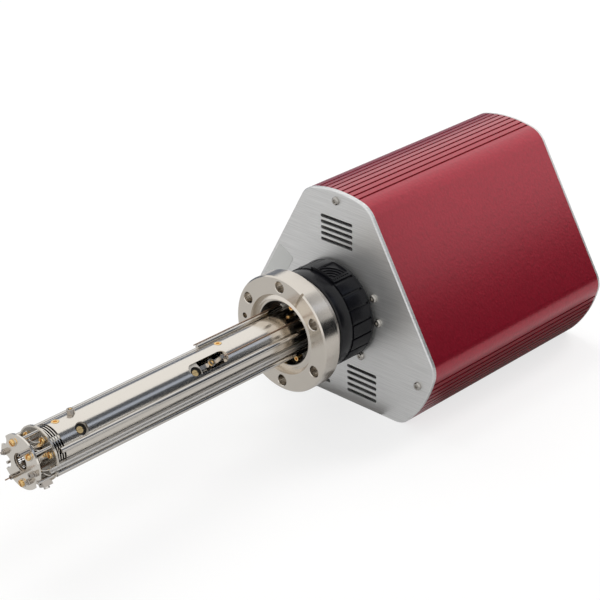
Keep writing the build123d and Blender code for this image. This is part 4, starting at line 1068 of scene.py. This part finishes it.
# -------- studio
def reflected_sheet(name: str, place: Matrix, colour: Colour,
                    fade: Sequence[float] = ()) -> None:
    """Make a glowing sheet that only reflections show.

    Args:
        name: the sheet's and its material's name.
        place: takes a unit square to the sheet's place.
        colour: how much it glows.
        fade: the places along Y where it starts to show and where it shows in full, if it fades in.
    """
    bpy.ops.mesh.primitive_plane_add(size=1.0, location=(0.0, 0.0, 0.0))
    thing = bpy.context.active_object
    thing.name = name
    thing.data.transform(place)
    material, sheet = new_material(name)
    surface = sheet.add("Emission", {"Color": (*colour, 1.0), "Strength": 1.0})
    if fade:
        along = sheet.add("SeparateXYZ", {0: sheet.place()}).outputs["Y"]
        share = sheet.add("MapRange", {"Value": along, "From Min": fade[0], "From Max": fade[1]})
        clear = sheet.add("BsdfTransparent")
        surface = sheet.add("MixShader", {0: share.outputs[0], 1: clear.outputs[0], 2: surface.outputs[0]})
    sheet.add("OutputMaterial", {"Surface": surface.outputs[0]})
    thing.data.materials.append(material)
    thing.visible_camera = False
    thing.visible_diffuse = False
    thing.visible_shadow = False


@dataclass
class Card:
    """A glowing strip parallel to the probe, cool in tone. Places and sizes are in metres."""

    name: str
    angle: float
    distance: float
    width: float
    front: float
    back: float
    grey: float
    tint: Colour = (0.88, 1.0, 1.24)

    def build(self) -> None:
        """Make the strip so that it faces the probe."""
        turn = radians(self.angle)
        across = Vector((-sin(turn), 0.0, cos(turn))) * self.width
        along = Vector((0.0, self.back - self.front, 0.0))
        middle = Vector((cos(turn) * self.distance, (self.front + self.back) / 2, sin(turn) * self.distance))
        axes = Matrix((across, along, across.cross(along))).transposed().to_4x4()
        colour = tuple(self.grey * part for part in self.tint)
        reflected_sheet(self.name, Matrix.Translation(middle) @ axes, colour)


@dataclass
class ContactShadow:
    """A patch of floor close to the part that reflections show dark. Places are in metres."""

    name: str
    left: float
    right: float
    front: float
    back: float
    floor_level: float
    fade: float = 0.0
    lift: float = 0.0003
    colour: Colour = (0.10, 0.095, 0.09)

    def build(self) -> None:
        """Lay the patch just above the floor."""
        middle = Vector(((self.left + self.right) / 2, (self.front + self.back) / 2,
                         self.floor_level + self.lift))
        size = Matrix.Diagonal((self.right - self.left, self.back - self.front, 1.0, 1.0))
        fade = (self.front, self.front + self.fade) if self.fade else ()
        reflected_sheet(self.name, Matrix.Translation(middle) @ size, self.colour, fade)


@dataclass
class Lamp:
    """A soft rectangular lamp that points at a target and that no reflection shows."""

    name: str
    place: Point
    target: Point
    width: float
    height: float
    power: float
    colour: Colour

    def build(self) -> None:
        """Make the lamp and turn it towards its target."""
        data = bpy.data.lights.new(self.name, "AREA")
        data.shape = "RECTANGLE"
        data.size, data.size_y = self.width, self.height
        data.energy = self.power
        data.color = self.colour
        lamp = bpy.data.objects.new(self.name, data)
        bpy.context.collection.objects.link(lamp)
        lamp.location = self.place
        lamp.rotation_mode = "QUATERNION"
        lamp.rotation_quaternion = (Vector(self.target) - Vector(self.place)).to_track_quat("-Z", "Y")
        lamp.visible_glossy = False


@dataclass
class Studio:
    """Pale floor, soft lamps, world and camera. Places and sizes are in metres."""

    floor_level: float
    floor_size: float = 8.0
    lens_mm: float = 113.1
    sensor_mm: float = 36.0
    near: float = 0.01
    far: float = 50.0
    camera_place: Point = (0.6705, -0.6599, 0.4889)
    azimuth: float = 44.76
    elevation: float = 26.43
    roll: float = -1.40
    ambient: float = 0.55
    floor_mirror: float = 0.53
    floor_grey: float = 0.88
    camera_share: float = 0.72
    mirror_share: float = 0.80

    def build(self) -> None:
        """Make the whole studio."""
        self.build_camera()
        self.build_world()
        self.build_floor()
        for thing in self.lamps() + self.cards() + self.contact_shadows():
            thing.build()
        bpy.context.scene.view_settings.view_transform = "Standard"

    def lamps(self) -> list[Lamp]:
        """The studio's lamps: place, target, width, height, power and colour."""
        return [
            Lamp("key_lamp", (-0.75, 0.30, 1.25), (0.0, 0.0, 0.0), 1.0, 1.0, 12.0, (1.0, 0.985, 0.955)),
            Lamp("front_lamp", (0.3, -1.5, 0.9), (0.0, -0.05, 0.0), 1.0, 0.8, 6.0, (1.0, 0.985, 0.96)),
            Lamp("top_lamp", (0.20, 0.85, 0.75), (0.05, 0.12, 0.03), 0.30, 0.55, 5.0, (1.0, 0.98, 0.97)),
        ]

    def build_camera(self) -> None:
        """Place the camera by its azimuth, elevation and roll."""
        turn, lift, tilt = radians(self.azimuth), radians(self.elevation), radians(self.roll)
        back = Vector((sin(turn) * cos(lift), -cos(turn) * cos(lift), sin(lift)))
        level = Vector((cos(turn), sin(turn), 0.0))
        upright = back.cross(level)
        right = cos(tilt) * level + sin(tilt) * upright
        up = -sin(tilt) * level + cos(tilt) * upright
        data = bpy.data.cameras.new("camera")
        data.lens = self.lens_mm
        data.sensor_width = self.sensor_mm
        data.clip_start = self.near
        data.clip_end = self.far
        camera = bpy.data.objects.new("camera", data)
        bpy.context.collection.objects.link(camera)
        axes = Matrix((right, up, back)).transposed()
        camera.matrix_world = Matrix.Translation(self.camera_place) @ axes.to_4x4()
        bpy.context.scene.camera = camera

    def build_world(self) -> None:
        """White to the camera and to reflections, and a plain soft level as light."""
        world = bpy.data.worlds.new("studio")
        world.use_nodes = True
        sheet = NodeSheet(world.node_tree)
        path = sheet.add("LightPath")
        seen = sheet.math("MAXIMUM", path.outputs["Is Camera Ray"],
                          sheet.math("MAXIMUM", path.outputs["Is Glossy Ray"],
                                     path.outputs["Is Transmission Ray"]))
        level = sheet.math("ADD", sheet.math("MULTIPLY", seen, 1.0 - self.ambient), self.ambient)
        light = sheet.add("Background", {"Color": (1.0, 1.0, 1.0, 1.0), "Strength": level})
        sheet.add("OutputWorld", {"Surface": light.outputs[0]})
        bpy.context.scene.world = world

    def build_floor(self) -> None:
        """A pale floor that shows white and keeps a soft shadow."""
        bpy.ops.mesh.primitive_plane_add(size=self.floor_size, location=(0.0, 0.0, self.floor_level))
        floor = bpy.context.active_object
        floor.name = "floor"
        material, sheet = new_material("Pale floor")
        path = sheet.add("LightPath")
        seen, mirrored = path.outputs["Is Camera Ray"], path.outputs["Is Glossy Ray"]
        matt = sheet.add("BsdfDiffuse", {"Color": (self.floor_grey, self.floor_grey, self.floor_grey, 1.0)})
        level = sheet.math("ADD", sheet.math("MULTIPLY", seen, 1.0 - self.floor_mirror), self.floor_mirror)
        glow = sheet.add("Emission", {"Color": (1.0, 1.0, 1.0, 1.0), "Strength": level})
        share = sheet.math("ADD", sheet.math("MULTIPLY", seen, self.camera_share),
                           sheet.math("MULTIPLY", mirrored, self.mirror_share))
        both = sheet.add("MixShader", {0: share, 1: matt.outputs[0], 2: glow.outputs[0]})
        sheet.add("OutputMaterial", {"Surface": both.outputs[0]})
        floor.data.materials.append(material)

    def cards(self) -> list[Card]:
        """Strips along the probe that only reflections show: their tones make the bands on the metal."""
        return [
            Card("low_card", 32.4, 0.53, 0.214, 0.06, 0.42, 0.045),
            Card("streak_card", 49.6, 0.53, 0.125, 0.06, 0.42, 0.50),
            Card("high_card", 65.4, 0.53, 0.218, 0.06, 0.42, 0.09),
            Card("side_card", 8.4, 0.32, 0.170, 0.10, 0.75, 0.012),
            Card("left_card", 190.0, 0.80, 1.00, -0.20, 1.30, 0.20),
        ]

    def contact_shadows(self) -> list[ContactShadow]:
        """Dark patches of floor under the coupling and the box, where little light comes in."""
        return [
            ContactShadow("ring_shadow", -0.050, 0.034, 0.038, 0.080, self.floor_level, lift=0.0006),
            ContactShadow("box_shadow", -0.085, 0.082, 0.054, 0.235, self.floor_level, fade=0.028),
        ]


def main() -> None:
    """Dress the frame, build the pieces and set the studio up."""
    logging.basicConfig(level=logging.INFO)
    deselect()
    wardrobe = Wardrobe(Effects())
    wardrobe.dress_nodes()
    LOG.info("dressed %d nodes", len(frame["nodes"]))
    fitter = Fitter(wardrobe)
    for assembly in (IonSource(), RingGrips(), BoxFittings()):
        assembly.build(fitter)
    deselect()
    Studio(floor_level=CAD_BOX[0][2]).build()
    LOG.info("studio ready")


if __name__ == "__main__":
    main()
